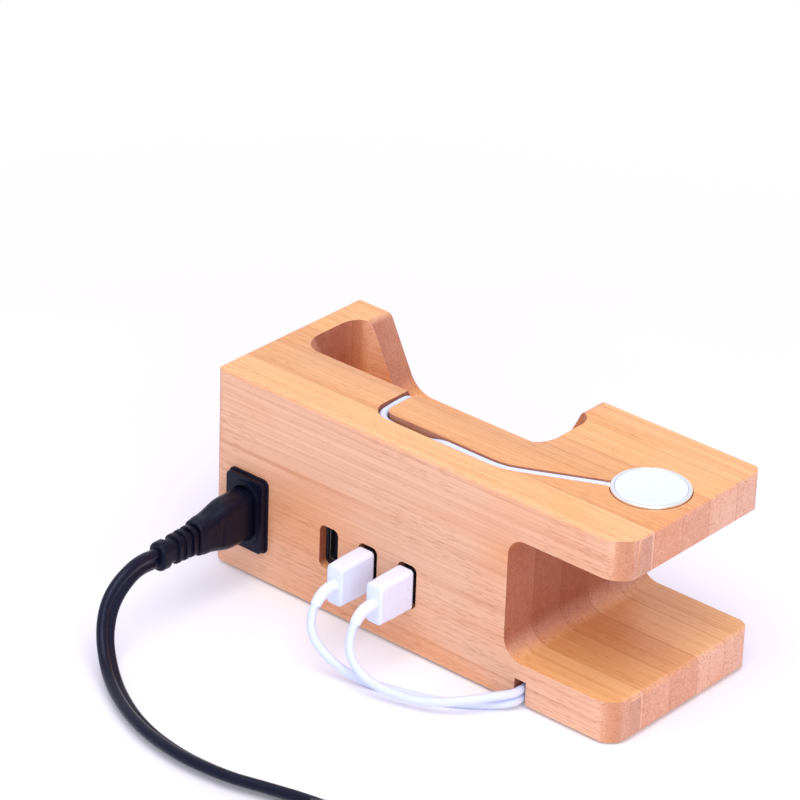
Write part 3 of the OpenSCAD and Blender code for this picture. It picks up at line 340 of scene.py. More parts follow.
class Graph:
    """The nodes of a material, a world or a node group, added and linked by name."""

    def __init__(self, tree: bpy.types.NodeTree) -> None:
        """Starts on an empty tree."""
        self.tree = tree
        tree.nodes.clear()

    def fill(self, node: Node, inputs: dict[Any, Any]) -> None:
        """Gives a node's inputs their values, or links them.

        Args:
            node: the node.
            inputs: a value or a socket for each named or numbered input.
        """
        for key, value in inputs.items():
            if isinstance(value, Socket):
                self.tree.links.new(value, node.inputs[key])
            else:
                node.inputs[key].default_value = value

    def add(self, kind: str, inputs: dict[Any, Any] | None = None, **settings: Any) -> Node:
        """Adds a node.

        Args:
            kind: the node's type name.
            inputs: a value or a socket for each named or numbered input.
            settings: the node's own properties.

        Returns:
            The node.
        """
        node = self.tree.nodes.new(kind)
        for key, value in settings.items():
            setattr(node, key, value)
        self.fill(node, inputs or {})
        return node

    def math(self, operation: str, *values: Any, clamp: bool = False) -> Socket:
        """Result of a Math node.

        Args:
            operation: the node's operation.
            values: numbers or sockets.
            clamp: whether the result is kept between 0 and 1.

        Returns:
            The result.
        """
        return self.add("ShaderNodeMath", dict(enumerate(values)), operation=operation,
                        use_clamp=clamp).outputs[0]

    def plus(self, first: Any, second: Any, clamp: bool = False) -> Socket:
        """Sum of two numbers or sockets."""
        return self.math("ADD", first, second, clamp=clamp)

    def less(self, first: Any, second: Any) -> Socket:
        """Difference of two numbers or sockets."""
        return self.math("SUBTRACT", first, second)

    def times(self, first: Any, second: Any) -> Socket:
        """Product of two numbers or sockets."""
        return self.math("MULTIPLY", first, second)

    def larger(self, first: Any, second: Any) -> Socket:
        """Larger one of two numbers or sockets."""
        return self.math("MAXIMUM", first, second)

    def size(self, value: Socket) -> Socket:
        """A value without its sign."""
        return self.math("ABSOLUTE", value)

    def parts(self, vector: Socket) -> list[Socket]:
        """The three parts of a vector."""
        return list(self.add("ShaderNodeSeparateXYZ", {0: vector}).outputs)

    def vectors(self, operation: str, first: Any, second: Any) -> Socket:
        """Vector that a Vector Math node makes of two."""
        return self.add("ShaderNodeVectorMath", {0: first, 1: second},
                        operation=operation).outputs[0]

    def span(self, value: Socket, low: float, high: float, to_low: float = 0,
             to_high: float = 1) -> Socket:
        """A value carried from one range into another, clamped, with smooth ends.

        Args:
            value: the value.
            low, high: the range that it comes from, turned round where low is the larger.
            to_low, to_high: the range that it goes to.

        Returns:
            The value in its new range.
        """
        return self.add("ShaderNodeMapRange", {
            "Value": value, "From Min": low, "From Max": high, "To Min": to_low,
            "To Max": to_high}, interpolation_type="SMOOTHSTEP", clamp=True).outputs["Result"]

    def mix(self, share: Any, low: Any, high: Any, blend: str = "MIX") -> Socket:
        """Mix of two colours.

        Args:
            share: how much of the second counts.
            low, high: the two colours.
            blend: the way in which they are mixed.

        Returns:
            The mixed colour.
        """
        return self.add("ShaderNodeMix", {0: share, 6: low, 7: high}, data_type="RGBA",
                        blend_type=blend).outputs[2]

    def stained(self, colour: Socket, stain: "Stain") -> Socket:
        """A colour multiplied by a stain."""
        return self.mix(1.0, colour, stain.value, "MULTIPLY")

    def place(self, vector: Socket, scale: Place) -> Socket:
        """A pattern's coordinates, scaled along each axis."""
        return self.add("ShaderNodeMapping", {"Vector": vector, "Scale": scale}).outputs[0]

    def noise(self, vector: Socket, scale: Any, detail: float = 2, rough: float = 0.5,
              bend: float = 0, gives: str = "Fac") -> Socket:
        """Noise texture.

        Args:
            vector: the coordinates.
            scale: spots a metre, as a number or socket, or as a tuple with one for each axis.
            detail, rough: how many finer layers it has, and how strong they are.
            bend: how far it is distorted.
            gives: the output that is wanted, Fac or Color.

        Returns:
            The texture's value or colour.
        """
        if isinstance(scale, tuple):
            vector, scale = self.place(vector, scale), 1.0
        return self.add("ShaderNodeTexNoise", {
            "Vector": vector, "Scale": scale, "Detail": detail, "Roughness": rough,
            "Distortion": bend}).outputs[gives]


MID_GREY = (0.5, 0.5, 0.5, 1.0)
DUST = srgb(214, 212, 216)
SMEAR = (0.3, 0.3, 0.32, 1.0)
GRAIN_HEIGHT = 0.00012
LINE_HEIGHT = 0.00004
FIBRE_HEIGHT = 0.00006
SKIN_OUTPUTS = {"Color": "NodeSocketColor", "Roughness": "NodeSocketFloat",
                "Normal": "NodeSocketVector"}


def new_group(name: str, takes: dict[str, Any]) -> tuple[Graph, Node, Node]:
    """Starts a node group that puts out a skin's colour, roughness and normal.

    Args:
        name: the group's name.
        takes: default of each input, a colour or a number.

    Returns:
        The group's graph, its input node and its output node.
    """
    tree = bpy.data.node_groups.new(name, "ShaderNodeTree")
    for key, value in takes.items():
        kind = "NodeSocketColor" if isinstance(value, tuple) else "NodeSocketFloat"
        tree.interface.new_socket(key, in_out="INPUT", socket_type=kind).default_value = value
    for key, kind in SKIN_OUTPUTS.items():
        tree.interface.new_socket(key, in_out="OUTPUT", socket_type=kind)
    graph = Graph(tree)
    return graph, graph.add("NodeGroupInput"), graph.add("NodeGroupOutput")


def grain_group() -> bpy.types.NodeTree:
    """Skin of a moulded piece: fine pits, slow waves, dust on level faces and rubbed colour.

    Returns:
        The group: Base, Dust, Grain, Depth, Waves and Gloss in, Color, Roughness, Normal out.
    """
    found = bpy.data.node_groups.get("moulded_grain")
    if found:
        return found
    graph, start, end = new_group("moulded_grain", {
        "Base": MID_GREY, "Dust": 0.05, "Grain": 1800.0, "Depth": 0.15, "Waves": 60.0,
        "Gloss": 0.35})
    given, place = start.outputs, graph.add("ShaderNodeTexCoord").outputs
    fine = graph.noise(place["Object"], given["Grain"], 3, 0.6)
    slow = graph.noise(place["Object"], given["Waves"])
    specks = graph.noise(place["Object"], (900, 900, 900), 4, 0.7)
    level = graph.span(graph.parts(place["Normal"])[2], 0.2, 1.0, 0.25, 1)
    dusty = graph.times(graph.times(level, graph.span(specks, 0.52, 0.72)), given["Dust"])
    rubbed = graph.mix(graph.span(slow, 0.25, 0.75, 0, 0.16), given["Base"], MID_GREY,
                       "SOFT_LIGHT")
    uneven = graph.plus(graph.span(slow, 0.3, 0.7, -0.05, 0.05), graph.times(dusty, 0.5))
    bump = graph.add("ShaderNodeBump", {"Height": fine, "Strength": given["Depth"],
                                        "Distance": GRAIN_HEIGHT})
    graph.fill(end, {"Color": graph.mix(dusty, rubbed, DUST), "Normal": bump.outputs[0],
                     "Roughness": graph.plus(given["Gloss"], uneven, clamp=True)})
    return graph.tree


def brush_group() -> bpy.types.NodeTree:
    """Skin of a metal piece: fine drawn lines, finger smears and a slightly uneven tone.

    Returns:
        The group: Base, Lines, Gloss and Smear in, Color, Roughness and Normal out.
    """
    found = bpy.data.node_groups.get("drawn_metal")
    if found:
        return found
    graph, start, end = new_group("drawn_metal", {
        "Base": (0.7, 0.7, 0.7, 1.0), "Lines": 0.2, "Gloss": 0.25, "Smear": 0.1})
    given, where = start.outputs, graph.add("ShaderNodeTexCoord").outputs["Object"]
    lines = graph.noise(where, (300, 300, 9000), 3, 0.6)
    smear = graph.noise(where, (140, 90, 140), 3, 0.55, 0.6)
    colour = graph.mix(graph.times(graph.span(smear, 0.35, 0.7), given["Smear"]),
                       given["Base"], SMEAR)
    rough = graph.plus(given["Gloss"], graph.span(smear, 0.3, 0.7, -0.06, 0.1), clamp=True)
    bump = graph.add("ShaderNodeBump", {"Height": lines, "Strength": given["Lines"],
                                        "Distance": LINE_HEIGHT})
    graph.fill(end, {"Color": colour, "Roughness": rough, "Normal": bump.outputs[0]})
    return graph.tree


# ---------------------------------------------------------------- finishes

class Finish:
    """A finish that makes its material once, under its own name."""
    name: str

    def material(self) -> bpy.types.Material:
        """Finds the material, or makes it on a Principled BSDF joined to its output.

        Returns:
            The material.
        """
        found = bpy.data.materials.get(self.name)
        if found:
            return found
        made = bpy.data.materials.new(self.name)
        made.use_nodes = True
        graph = Graph(made.node_tree)
        shader = graph.add("ShaderNodeBsdfPrincipled")
        graph.add("ShaderNodeOutputMaterial", {"Surface": shader.outputs[0]})
        self.shade(graph, shader)
        return made

    def shade(self, graph: Graph, shader: Node) -> None:
        """Feeds the shader. Each kind of finish has its own way.

        Args:
            graph: the material's graph.
            shader: its Principled BSDF.
        """
        raise NotImplementedError

    @staticmethod
    def put_skin(graph: Graph, shader: Node, group: bpy.types.NodeTree,
                 values: dict[str, Any]) -> None:
        """Places a skin's node group and joins it to the shader.

        Args:
            graph: the material's graph.
            shader: its Principled BSDF.
            group: the node group.
            values: the group's values in this material.
        """
        skin = graph.add("ShaderNodeGroup", values, node_tree=group).outputs
        graph.fill(shader, {"Base Color": skin["Color"], "Roughness": skin["Roughness"],
                            "Normal": skin["Normal"]})


@dataclass(frozen=True)
class Moulded(Finish):
    """Finish of a plastic or rubber piece.

    Args:
        name: the material's name.
        base: linear colour.
        gloss: roughness in the middle of its range.
        depth: strength of the grain.
        grain: fineness of the grain, in spots a metre.
        dust: share of dust on faces that look up.
        coat: weight of a clear skin.
        shine: level of the mirror part.
        tint: colour of the mirror part, bluish as painted reflection of bluish surroundings.
    """
    name: str
    base: Colour
    gloss: float = 0.35
    depth: float = 0.15
    grain: float = 1800.0
    dust: float = 0.03
    coat: float = 0.0
    shine: float = 0.5
    # Bluish mirror tint: painted colour of reflected bluish surroundings
    tint: Colour = (0.6, 0.66, 1.0, 1.0)

    def shade(self, graph: Graph, shader: Node) -> None:
        """Puts the grain on the shader, and gives it the clear skin and the mirror part.

        Args:
            graph: the material's graph.
            shader: its Principled BSDF.
        """
        self.put_skin(graph, shader, grain_group(), {
            "Base": self.base, "Dust": self.dust, "Grain": self.grain, "Depth": self.depth,
            "Gloss": self.gloss})
        graph.fill(shader, {"Coat Weight": self.coat, "Coat Roughness": 0.12,
                            "Specular IOR Level": self.shine, "Specular Tint": self.tint})


@dataclass(frozen=True)
class Metal(Finish):
    """Finish of a metal piece.

    Args:
        name: the material's name.
        base: linear colour.
        gloss: roughness in the middle of its range.
        lines: strength of the drawn lines.
        smear: share of smears.
    """
    name: str
    base: Colour
    gloss: float = 0.25
    lines: float = 0.2
    smear: float = 0.2

    def shade(self, graph: Graph, shader: Node) -> None:
        """Puts the drawn lines and the smears on a metallic shader.

        Args:
            graph: the material's graph.
            shader: its Principled BSDF.
        """
        self.put_skin(graph, shader, brush_group(), {
            "Base": self.base, "Lines": self.lines, "Gloss": self.gloss, "Smear": self.smear})
        graph.fill(shader, {"Metallic": 1.0})


class Stain(Enum):
    """Linear colours that the bamboo's own colour is mixed with or multiplied by."""
    DARK = srgb(222, 178, 140)
    PALE = srgb(255, 222, 176)
    CLOUD = srgb(250, 214, 158)
    BUNDLE = srgb(196, 148, 118)
    FIBRE = srgb(226, 190, 158)
    GLUE = srgb(170, 112, 72)
    STRIP = srgb(196, 118, 56)
    # Darker tone of the cut faces inside the block, also used for painted shade in hollows
    CUT_AND_SHADE = srgb(176, 128, 104)


@dataclass(frozen=True)
class Bamboo(Finish):
    """Finish of the laminated bamboo: plies side by side along Y, with fibres along X.

    Args:
        name: the material's name.
        top: colour of the faces that look up or down, more orange partly from their own grain and
            partly as painted warm light from above.
        side: colour of the long upright faces, pinker partly from their own grain and partly as
            painted bluish light.
        end: colour of the cut ends.
        ply: width of a ply in metres.
        plies: number of plies.
        front: distance of the block's front face from Y = 0.
        bow: how far a joint wanders in all.
        tint: how far the plies differ in tone.
        fleck: how dark the fibre bundles are.
        last_ply: places along Y between which the last ply's end turns dark.
        outer_ends: distances from X = 0 between which a face is an outer end.
        hollow: reach of the painted shade in hollows.
    """
    name: str = "bamboo_laminate"
    top: Colour = srgb(243, 190, 128)
    side: Colour = srgb(237, 188, 152)
    end: Colour = srgb(230, 180, 152)
    ply: float = 0.0152
    plies: int = 5
    front: float = 0.0398
    bow: float = 0.0014
    tint: float = 0.5
    fleck: float = 0.5
    last_ply: tuple[float, float] = (0.0218, 0.0224)
    outer_ends: tuple[float, float] = (0.084, 0.09)
    hollow: float = 0.007

    def layers(self, graph: Graph, where: Socket) -> tuple[Socket, ...]:
        """Plies whose joints wander a little: a = (y + front + bow (noise - 1/2)) / ply.

        The ply's number is the whole part of a, kept to the plies that there are, and each
        number draws two tones. Joints show near whole values of a, but not at the outer faces.

        Args:
            graph: the material's graph.
            where: coordinates on the piece.

        Returns:
            Place in the ply from 0 to 1, its first tone, its second tone, and the joints' mask.
        """
        sway = graph.times(graph.less(graph.noise(where, (9, 0, 14)), 0.5), self.bow)
        depth = graph.plus(graph.parts(where)[1], self.front)
        across = graph.math("DIVIDE", graph.plus(depth, sway), self.ply)
        number = graph.math("MINIMUM", graph.larger(graph.math("FLOOR", across), 0.0),
                            self.plies - 1.0)
        tone, second = (graph.add("ShaderNodeTexWhiteNoise", {"W": graph.plus(number, seed)},
                                  noise_dimensions="1D").outputs["Value"]
                        for seed in (0.0, 37.3))
        within = graph.math("FRACT", across)
        joint = graph.span(graph.size(graph.less(within, 0.5)), 0.475, 0.497)
        middle = self.plies / 2
        inner = graph.span(graph.size(graph.less(across, middle)), middle - 0.2, middle - 0.3)
        return within, tone, second, graph.times(joint, inner)

    @staticmethod
    def figure(graph: Graph, own: Socket) -> tuple[Socket, ...]:
        """Patterns that are drawn out along the fibres.

        Args:
            graph: the material's graph.
            own: coordinates of the ply, shifted so that no streak crosses a joint.

        Returns:
            Streaks, fine fibres, distances to the fibre bundles, and clouds.
        """
        streaks = graph.noise(own, (4, 420, 420), 5, 0.65)
        fibres = graph.noise(own, (12, 1700, 1700), 4, 0.7)
        sway = graph.vectors("MULTIPLY", graph.noise(own, (30, 90, 90), gives="Color"),
                             (0.0, 0.0016, 0.0016))
        bent = graph.place(graph.vectors("ADD", own, sway), (150, 1350, 1350))
        bundles = graph.add("ShaderNodeTexVoronoi", {"Vector": bent, "Scale": 1.0},
                            feature="F1").outputs["Distance"]
        return streaks, fibres, bundles, graph.noise(own, (11, 26, 26), 3, 0.5, 0.4)

    def shade(self, graph: Graph, shader: Node) -> None:
        """Solid pattern in the block's own coordinates, from the plies down to the fibres.

        Args:
            graph: the material's graph.
            shader: its Principled BSDF.
        """
        place = graph.add("ShaderNodeTexCoord").outputs
        facing = graph.parts(place["Normal"])
        end_share, flat_share = (graph.math("POWER", graph.size(part), 2.0)
                                 for part in (facing[0], facing[2]))
        within, tone, second, joint = self.layers(graph, place["Object"])
        slide = graph.add("ShaderNodeCombineXYZ", {0: graph.times(tone, 0.7),
                                                   2: graph.times(second, 0.4)}).outputs[0]
        own = graph.vectors("ADD", place["Object"], slide)
        streaks, fibres, bundles, clouds = self.figure(graph, own)

        # The plies' tones, then streaks and clouds along them
        # Colour by facing: the tops' orange and the sides' pink are partly grain and partly
        # painted light
        base = graph.mix(flat_share, self.side, self.top)
        base = graph.mix(end_share, base, self.end)
        dark, pale = graph.stained(base, Stain.DARK), graph.mix(0.4, base, Stain.PALE.value)
        colour = graph.mix(graph.times(graph.span(tone, 0.45, 1.0), self.tint), base, dark)
        colour = graph.mix(graph.times(graph.span(second, 0.4, 1.0), self.tint), colour, pale)
        colour = graph.mix(graph.span(streaks, 0.5, 0.72, 0, 0.42), colour, dark)
        colour = graph.mix(graph.span(streaks, 0.46, 0.3, 0, 0.5), colour, pale)
        colour = graph.mix(graph.span(clouds, 0.42, 0.8, 0, 0.8), colour,
                           graph.stained(colour, Stain.CLOUD))

        # Bundles are thicker towards one side of each ply, and darkest on the ends
        limit = graph.plus(0.16, graph.times(within, 0.16))
        spots = graph.span(graph.less(limit, bundles), -0.08, 0.1)
        spots = graph.times(spots, graph.plus(self.fleck * 0.6,
                                              graph.times(end_share, self.fleck * 0.7)))
        colour = graph.mix(spots, colour, graph.stained(colour, Stain.BUNDLE))
        colour = graph.mix(graph.span(fibres, 0.38, 0.66, 0, 0.42), colour,
                           graph.stained(colour, Stain.FIBRE))
        colour = graph.mix(graph.times(joint, 0.4), colour, Stain.GLUE.value)

        # Round corners show a deeper strip
        corner = graph.span(graph.size(graph.times(facing[0], facing[1])), 0.3, 0.5, 0, 0.5)
        colour = graph.mix(corner, colour, Stain.STRIP.value)
        # Painted shade in hollows, and darker inner cut ends that are partly rough end grain and
        # partly painted shade
        colour = graph.mix(self.shade_and_cut_mask(graph, place["Object"], end_share), colour,
                           graph.stained(colour, Stain.CUT_AND_SHADE))
        rough = graph.plus(graph.times(end_share, 0.16), graph.times(spots, 0.1))
        rough = graph.plus(graph.span(fibres, 0.3, 0.7, 0.34, 0.44), rough, clamp=True)
        height = graph.less(graph.times(fibres, 0.6), graph.plus(spots, graph.times(joint, 0.7)))
        bump = graph.add("ShaderNodeBump", {"Height": height, "Strength": 0.35,
                                            "Distance": FIBRE_HEIGHT})
        graph.fill(shader, {"Base Color": colour, "Roughness": rough, "Normal": bump.outputs[0],
                            "Coat Weight": 0.12, "Coat Roughness": 0.3})

    def shade_and_cut_mask(self, graph: Graph, where: Socket, end_share: Socket) -> Socket:
        """Mask of the painted shade in hollows and of the darker faces cut into the block.

        Args:
            graph: the material's graph.
            where: coordinates on the piece.
            end_share: how far a face looks along X.

        Returns:
            The largest of the painted shade in hollows, the inner end faces (partly rough end
            grain, partly painted shade) and the last ply's end.
        """
        x, y, _ = graph.parts(where)
        # Ambient occlusion paints shade into the grooves, slots and pocket
        near = graph.add("ShaderNodeAmbientOcclusion", {"Distance": self.hollow}, samples=6,
                         only_local=True)
        inside = graph.span(near.outputs["AO"], 0.85, 0.25, 0, 0.8)
        # Inner end faces darker: partly rough-cut end grain, partly painted shade
        outer = graph.span(graph.size(x), *self.outer_ends)
        cut = graph.times(graph.less(1.0, outer), graph.times(end_share, 0.85))
        last = graph.times(graph.span(y, *self.last_ply), graph.times(end_share, 0.42))
        return graph.larger(inside, graph.larger(cut, last))


BAMBOO = Bamboo()
# The blue in the black mouldings' and the cord's colours is painted reflection of bluish
# surroundings; the plastic itself is near-black
BLACK = Moulded("black_moulding", srgb(11, 11, 26), gloss=0.34, depth=0.2, dust=0.008, shine=0.22)
CORD_SKIN = Moulded("cord_skin", srgb(11, 12, 30), gloss=0.28, depth=0.1, grain=1200, dust=0.006,
                    shine=0.3)
RUBBER = Moulded("foot_rubber", srgb(38, 38, 42), gloss=0.72, depth=0.4, grain=1400, dust=0.1)
WHITE = Moulded("white_moulding", srgb(228, 237, 255), gloss=0.24, depth=0.05, dust=0.0, coat=0.2)
LEAD_SKIN = Moulded("white_lead_skin", srgb(216, 226, 250), gloss=0.34, depth=0.06, grain=1500,
                    dust=0.0)
STRAP = Moulded("tie_strap", srgb(46, 46, 52), gloss=0.6, depth=0.5, grain=2600, dust=0.05)
CASE = Moulded("supply_case", srgb(24, 24, 27), gloss=0.5, depth=0.35, grain=1100, dust=0.05)
BOARD = Moulded("circuit_board", srgb(28, 96, 58), gloss=0.3, depth=0.1, grain=700, dust=0.03,
                coat=0.3)
FERRITE = Moulded("ferrite_core", srgb(52, 49, 47), gloss=0.7, depth=0.5, grain=1600)
TAPE = Moulded("winding_tape", srgb(222, 190, 66), gloss=0.32, depth=0.12, coat=0.2)
SLEEVE = Moulded("capacitor_sleeve", srgb(38, 52, 108), gloss=0.25, depth=0.08, coat=0.3)
GLASS_TUBE = Moulded("fuse_tube", srgb(206, 210, 214), gloss=0.12, depth=0.02, coat=0.6)
WIRE_BLUE = Moulded("wire_skin_blue", srgb(52, 96, 190), gloss=0.4, depth=0.08)
WIRE_BROWN = Moulded("wire_skin_brown", srgb(112, 70, 44), gloss=0.4, depth=0.08)
STEEL = Metal("bright_steel", srgb(206, 207, 212), gloss=0.22, lines=0.25)
CUP_STEEL = Metal("polished_cup", srgb(238, 239, 246), gloss=0.16, lines=0.08, smear=0.05)
NICKEL = Metal("port_nickel", srgb(150, 152, 158), gloss=0.34, lines=0.15, smear=0.35)
BRASS = Metal("contact_brass", srgb(214, 178, 104), gloss=0.28, lines=0.2)
COPPER = Metal("copper_winding", srgb(196, 112, 66), gloss=0.34, lines=0.6)
ALUMINIUM = Metal("sink_aluminium", srgb(196, 198, 202), gloss=0.42, lines=0.4)


class Body(Enum):
    """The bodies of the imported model."""
    BLOCK = "block"
    LEAD = "power_lead"


def dress(piece: Obj, finish: Finish, body: Body = Body.BLOCK) -> Obj:
    """Gives a new piece its material and the body that it rides on.

    Args:
        piece: the object.
        finish: its finish.
        body: the body.

    Returns:
        The piece.
    """
    piece.data.materials.clear()
    piece.data.materials.append(finish.material())
    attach(piece, body.value)
    LOG.info("%s: %d faces", piece.name, len(piece.data.polygons))
    return piece


def dress_node(node: str, *finishes: Finish) -> None:
    """Gives the material slots of a CAD node their finishes, in the slots' order.

    Args:
        node: the CAD node.
        finishes: one finish for all slots, or one for each.
    """
    held = frame["nodes"][node]
    if not held.material_slots:
        held.data.materials.append(None)
    for i, place in enumerate(held.material_slots):
        place.link = "OBJECT"
        place.material = finishes[min(i, len(finishes) - 1)].material()
    LOG.info("%s: dressed", node)


# ---------------------------------------------------------------- camera and studio

@dataclass
class PhotoCamera:
    """The camera at the photograph's angle.

    Args:
        azimuth, elevation, roll: its direction in degrees.
        picture: width of the photograph in pixels.
        focal: focal length in the same pixels.
        sensor: width of the sensor in millimetres.
        distance: distance to the target in metres.
        target: the point in the middle of the picture.
        clip: nearest and farthest distance that it sees.
    """
    azimuth: float = 220.03
    elevation: float = 27.85
    roll: float = 2.08
    picture: float = 800.0
    focal: float = 4189.45
    sensor: float = 36.0
    distance: float = 1.4759
    target: Place = (0.03911, -0.0018, 0.07076)
    clip: tuple[float, float] = (0.05, 30.0)

    def build(self) -> None:
        """Makes the camera: back = (sin a cos e, -cos a cos e, sin e), then rolled about it."""
        a, e, r = (math.radians(v) for v in (self.azimuth, self.elevation, self.roll))
        back = Vector((math.sin(a) * math.cos(e), -math.cos(a) * math.cos(e), math.sin(e)))
        right = Vector((math.cos(a), math.sin(a), 0))
        up = back.cross(right)
        across = math.cos(r) * right + math.sin(r) * up
        over = math.cos(r) * up - math.sin(r) * right
        data = bpy.data.cameras.new("photo_camera")
        data.sensor_width = self.sensor
        data.lens = self.focal / self.picture * self.sensor
        data.clip_start, data.clip_end = self.clip
        made = linked("photo_camera", data)
        made.matrix_world = Matrix.Translation(Vector(self.target) + back * self.distance) @ \
            Matrix((across, over, back)).transposed().to_4x4()
        bpy.context.scene.camera = made


@dataclass(frozen=True)
class Lamp:
    """A square lamp that looks at the block's middle.

    Args:
        name: the lamp's name.
        place: where it hangs.
        side: length of its side in metres.
        power: its power in watts.
        colour: colour of its light.
        aim: the point that it looks at.
    """
    name: str
    place: Place
    side: float
    power: float
    colour: tuple[float, float, float]
    aim: Place = (0.0, 0.0, 0.04)

    def build(self) -> None:
        """Makes the lamp."""
        data = bpy.data.lights.new(self.name, "AREA")
        data.size, data.energy, data.color = self.side, self.power, self.colour
        made = linked(self.name, data)
        made.location = self.place
        way = Vector(self.aim) - Vector(self.place)
        made.rotation_euler = way.to_track_quat("-Z", "Y").to_euler()


@dataclass
class Studio:
    """White floor and surround with soft light.

    Args:
        ambient: colour of the surround's light.
        ambient_level: its strength.
        lamps: a large one overhead, and one on the ports' side.
        reach: half of the floor's side in metres.
        cells: points along the floor's side.
        white_share: how much of the floor near the block the camera sees as plain white.
        fade: distances from the block over which the floor turns all white.
        middle: the point from which they are measured.
        tones: the two tones of the floor's paper.
    """
    ambient: Colour = (0.74, 0.72, 1.0, 1.0)
    ambient_level: float = 0.82
    lamps: tuple[Lamp, ...] = (
        Lamp("key_lamp", (-0.25, 0.35, 1.25), 1.1, 11.0, (1.0, 0.97, 0.88)),
        Lamp("fill_lamp", (-1.1, 0.9, 0.5), 0.9, 7.5, (0.95, 0.93, 1.0)))
    reach: float = 3.0
    cells: int = 9
    white_share: float = 0.15
    fade: tuple[float, float] = (0.16, 0.5)
    middle: Place = (0.0, 0.05, 0.0)
    tones: tuple[Colour, Colour] = ((0.93, 0.93, 0.95, 1), (0.96, 0.96, 0.975, 1))

    @staticmethod
    def seen(graph: Graph) -> Socket:
        """Rays of the camera, of a mirror image and of clear pieces.

        Args:
            graph: the graph of a material or of the world.

        Returns:
            1 for those rays and 0 for others.
        """
        path = graph.add("ShaderNodeLightPath").outputs
        return graph.larger(graph.larger(path["Is Camera Ray"], path["Is Glossy Ray"]),
                            path["Is Transmission Ray"])

    def surround(self) -> None:
        """Makes the world: bluish light for the pieces, plain white for the camera."""
        world = bpy.data.worlds.new("surround")
        bpy.context.scene.world = world
        world.use_nodes = True
        graph = Graph(world.node_tree)
        light = graph.add("ShaderNodeBackground", {"Color": self.ambient,
                                                   "Strength": self.ambient_level})
        white = graph.add("ShaderNodeBackground", {"Color": (1, 1, 1, 1), "Strength": 1.0})
        mixed = graph.add("ShaderNodeMixShader", {0: self.seen(graph), 1: light.outputs[0],
                                                  2: white.outputs[0]})
        graph.add("ShaderNodeOutputWorld", {"Surface": mixed.outputs[0]})

    def paper(self) -> bpy.types.Material:
        """Makes the floor's material: pale and matt under the block, white farther off.

        Returns:
            The material.
        """
        made = bpy.data.materials.new("floor_paper")
        made.use_nodes = True
        graph = Graph(made.node_tree)
        where = graph.add("ShaderNodeTexCoord").outputs["Object"]
        tone = graph.mix(graph.span(graph.noise(where, 6.0), 0.3, 0.7), *self.tones)
        matt = graph.add("ShaderNodeBsdfDiffuse", {"Color": tone})
        glow = graph.add("ShaderNodeEmission", {"Color": (1, 1, 1, 1), "Strength": 1.0})
        far = graph.add("ShaderNodeVectorMath", {0: where, 1: self.middle},
                        operation="DISTANCE").outputs["Value"]
        share = graph.times(self.seen(graph), graph.span(far, *self.fade, self.white_share, 1.0))
        mixed = graph.add("ShaderNodeMixShader", {0: share, 1: matt.outputs[0],
                                                  2: glow.outputs[0]})
        graph.add("ShaderNodeOutputMaterial", {"Surface": mixed.outputs[0]})
        return made

    def floor(self) -> None:
        """Makes the floor as a grid of squares."""
        axis = np.linspace(-self.reach, self.reach, self.cells)
        x, y = np.meshgrid(axis, axis, indexing="ij")
        points = np.stack([x, y, np.zeros_like(x)], axis=-1).reshape(-1, 3)
        i, j = np.meshgrid(np.arange(self.cells - 1), np.arange(self.cells - 1), indexing="ij")
        a = i * self.cells + j
        quads = np.stack([a, a + self.cells, a + self.cells + 1, a + 1], axis=-1).reshape(-1, 4)
        mesh = bpy.data.meshes.new("desk_floor")
        mesh.from_pydata(points.tolist(), [], quads.tolist())
        mesh.materials.append(self.paper())
        linked("desk_floor", mesh)

    def build(self) -> None:
        """Makes the surround, the floor and the lamps."""
        bpy.context.scene.view_settings.view_transform = "Standard"
        self.surround()
        self.floor()
        for lamp in self.lamps:
            lamp.build()


# ---------------------------------------------------------------- moulded bodies

Stations = Sequence[tuple[float, float, float, float]]
Pairs = Sequence[tuple[float, float]]


@dataclass
class Loft:
    """A moulded body drawn through rounded outlines at stations along an axis, in millimetres.

    Args:
        stations: rows of (place along the axis, width, height, corner radius).
        step: distance between two rings.
        ease: rounding of the first and the last edge.
        steps: parts of each corner.
    """
    stations: Stations
    step: float = 0.4
    ease: float = 0.5
    steps: int = 9

    def rings(self, origin: Array, along: Array = Y_AXIS, wide: Array = X_AXIS) -> Array:
        """Rings of the body, with its height along Z.

        Between two stations each size s goes as s0 + (s1 - s0) (3 k^2 - 2 k^3), and over the
        first and the last stretch of length e the outline draws in by
        e (1 - sqrt(1 - (1 - d / e)^2)).

        Args:
            origin: the place where the axis is 0, in millimetres.
            along, wide: unit vectors of the axis and of the width.

        Returns:
            The rings in metres.
        """
        table = np.array(self.stations, float)
        start, stop = table[0, 0], table[-1, 0]
        inner = np.arange(start + self.ease, stop - self.ease, self.step)
        bend = self.ease * (1 - np.cos(np.linspace(0, np.pi / 2, 5)))
        at = np.unique(np.concatenate([start + bend, inner, stop - bend, table[1:-1, 0]]))
        at = at[np.concatenate([[True], np.diff(at) > 1e-4])]
        cell = np.clip(np.searchsorted(table[:, 0], at, side="right") - 1, 0, len(table) - 2)
        k = (at - table[cell, 0]) / (table[cell + 1, 0] - table[cell, 0])
        size = table[cell, 1:] + (table[cell + 1, 1:] - table[cell, 1:]) * eased(k)[:, None]
        near = share_of(np.minimum(at - start, stop - at), self.ease)
        draw = self.ease * (1 - np.sqrt(np.clip(1 - (1 - near) ** 2, 0, 1)))
        size[:, :2] -= 2 * draw[:, None]
        size[:, 2] = np.maximum(size[:, 2] - draw, 0.2)
        shapes = np.stack([rounded(w, h, r, self.steps) for w, h, r in size])
        return swept(shapes, origin + at[:, None] * along, wide, Z_AXIS) * MM


# ---------------------------------------------------------------- the mains lead

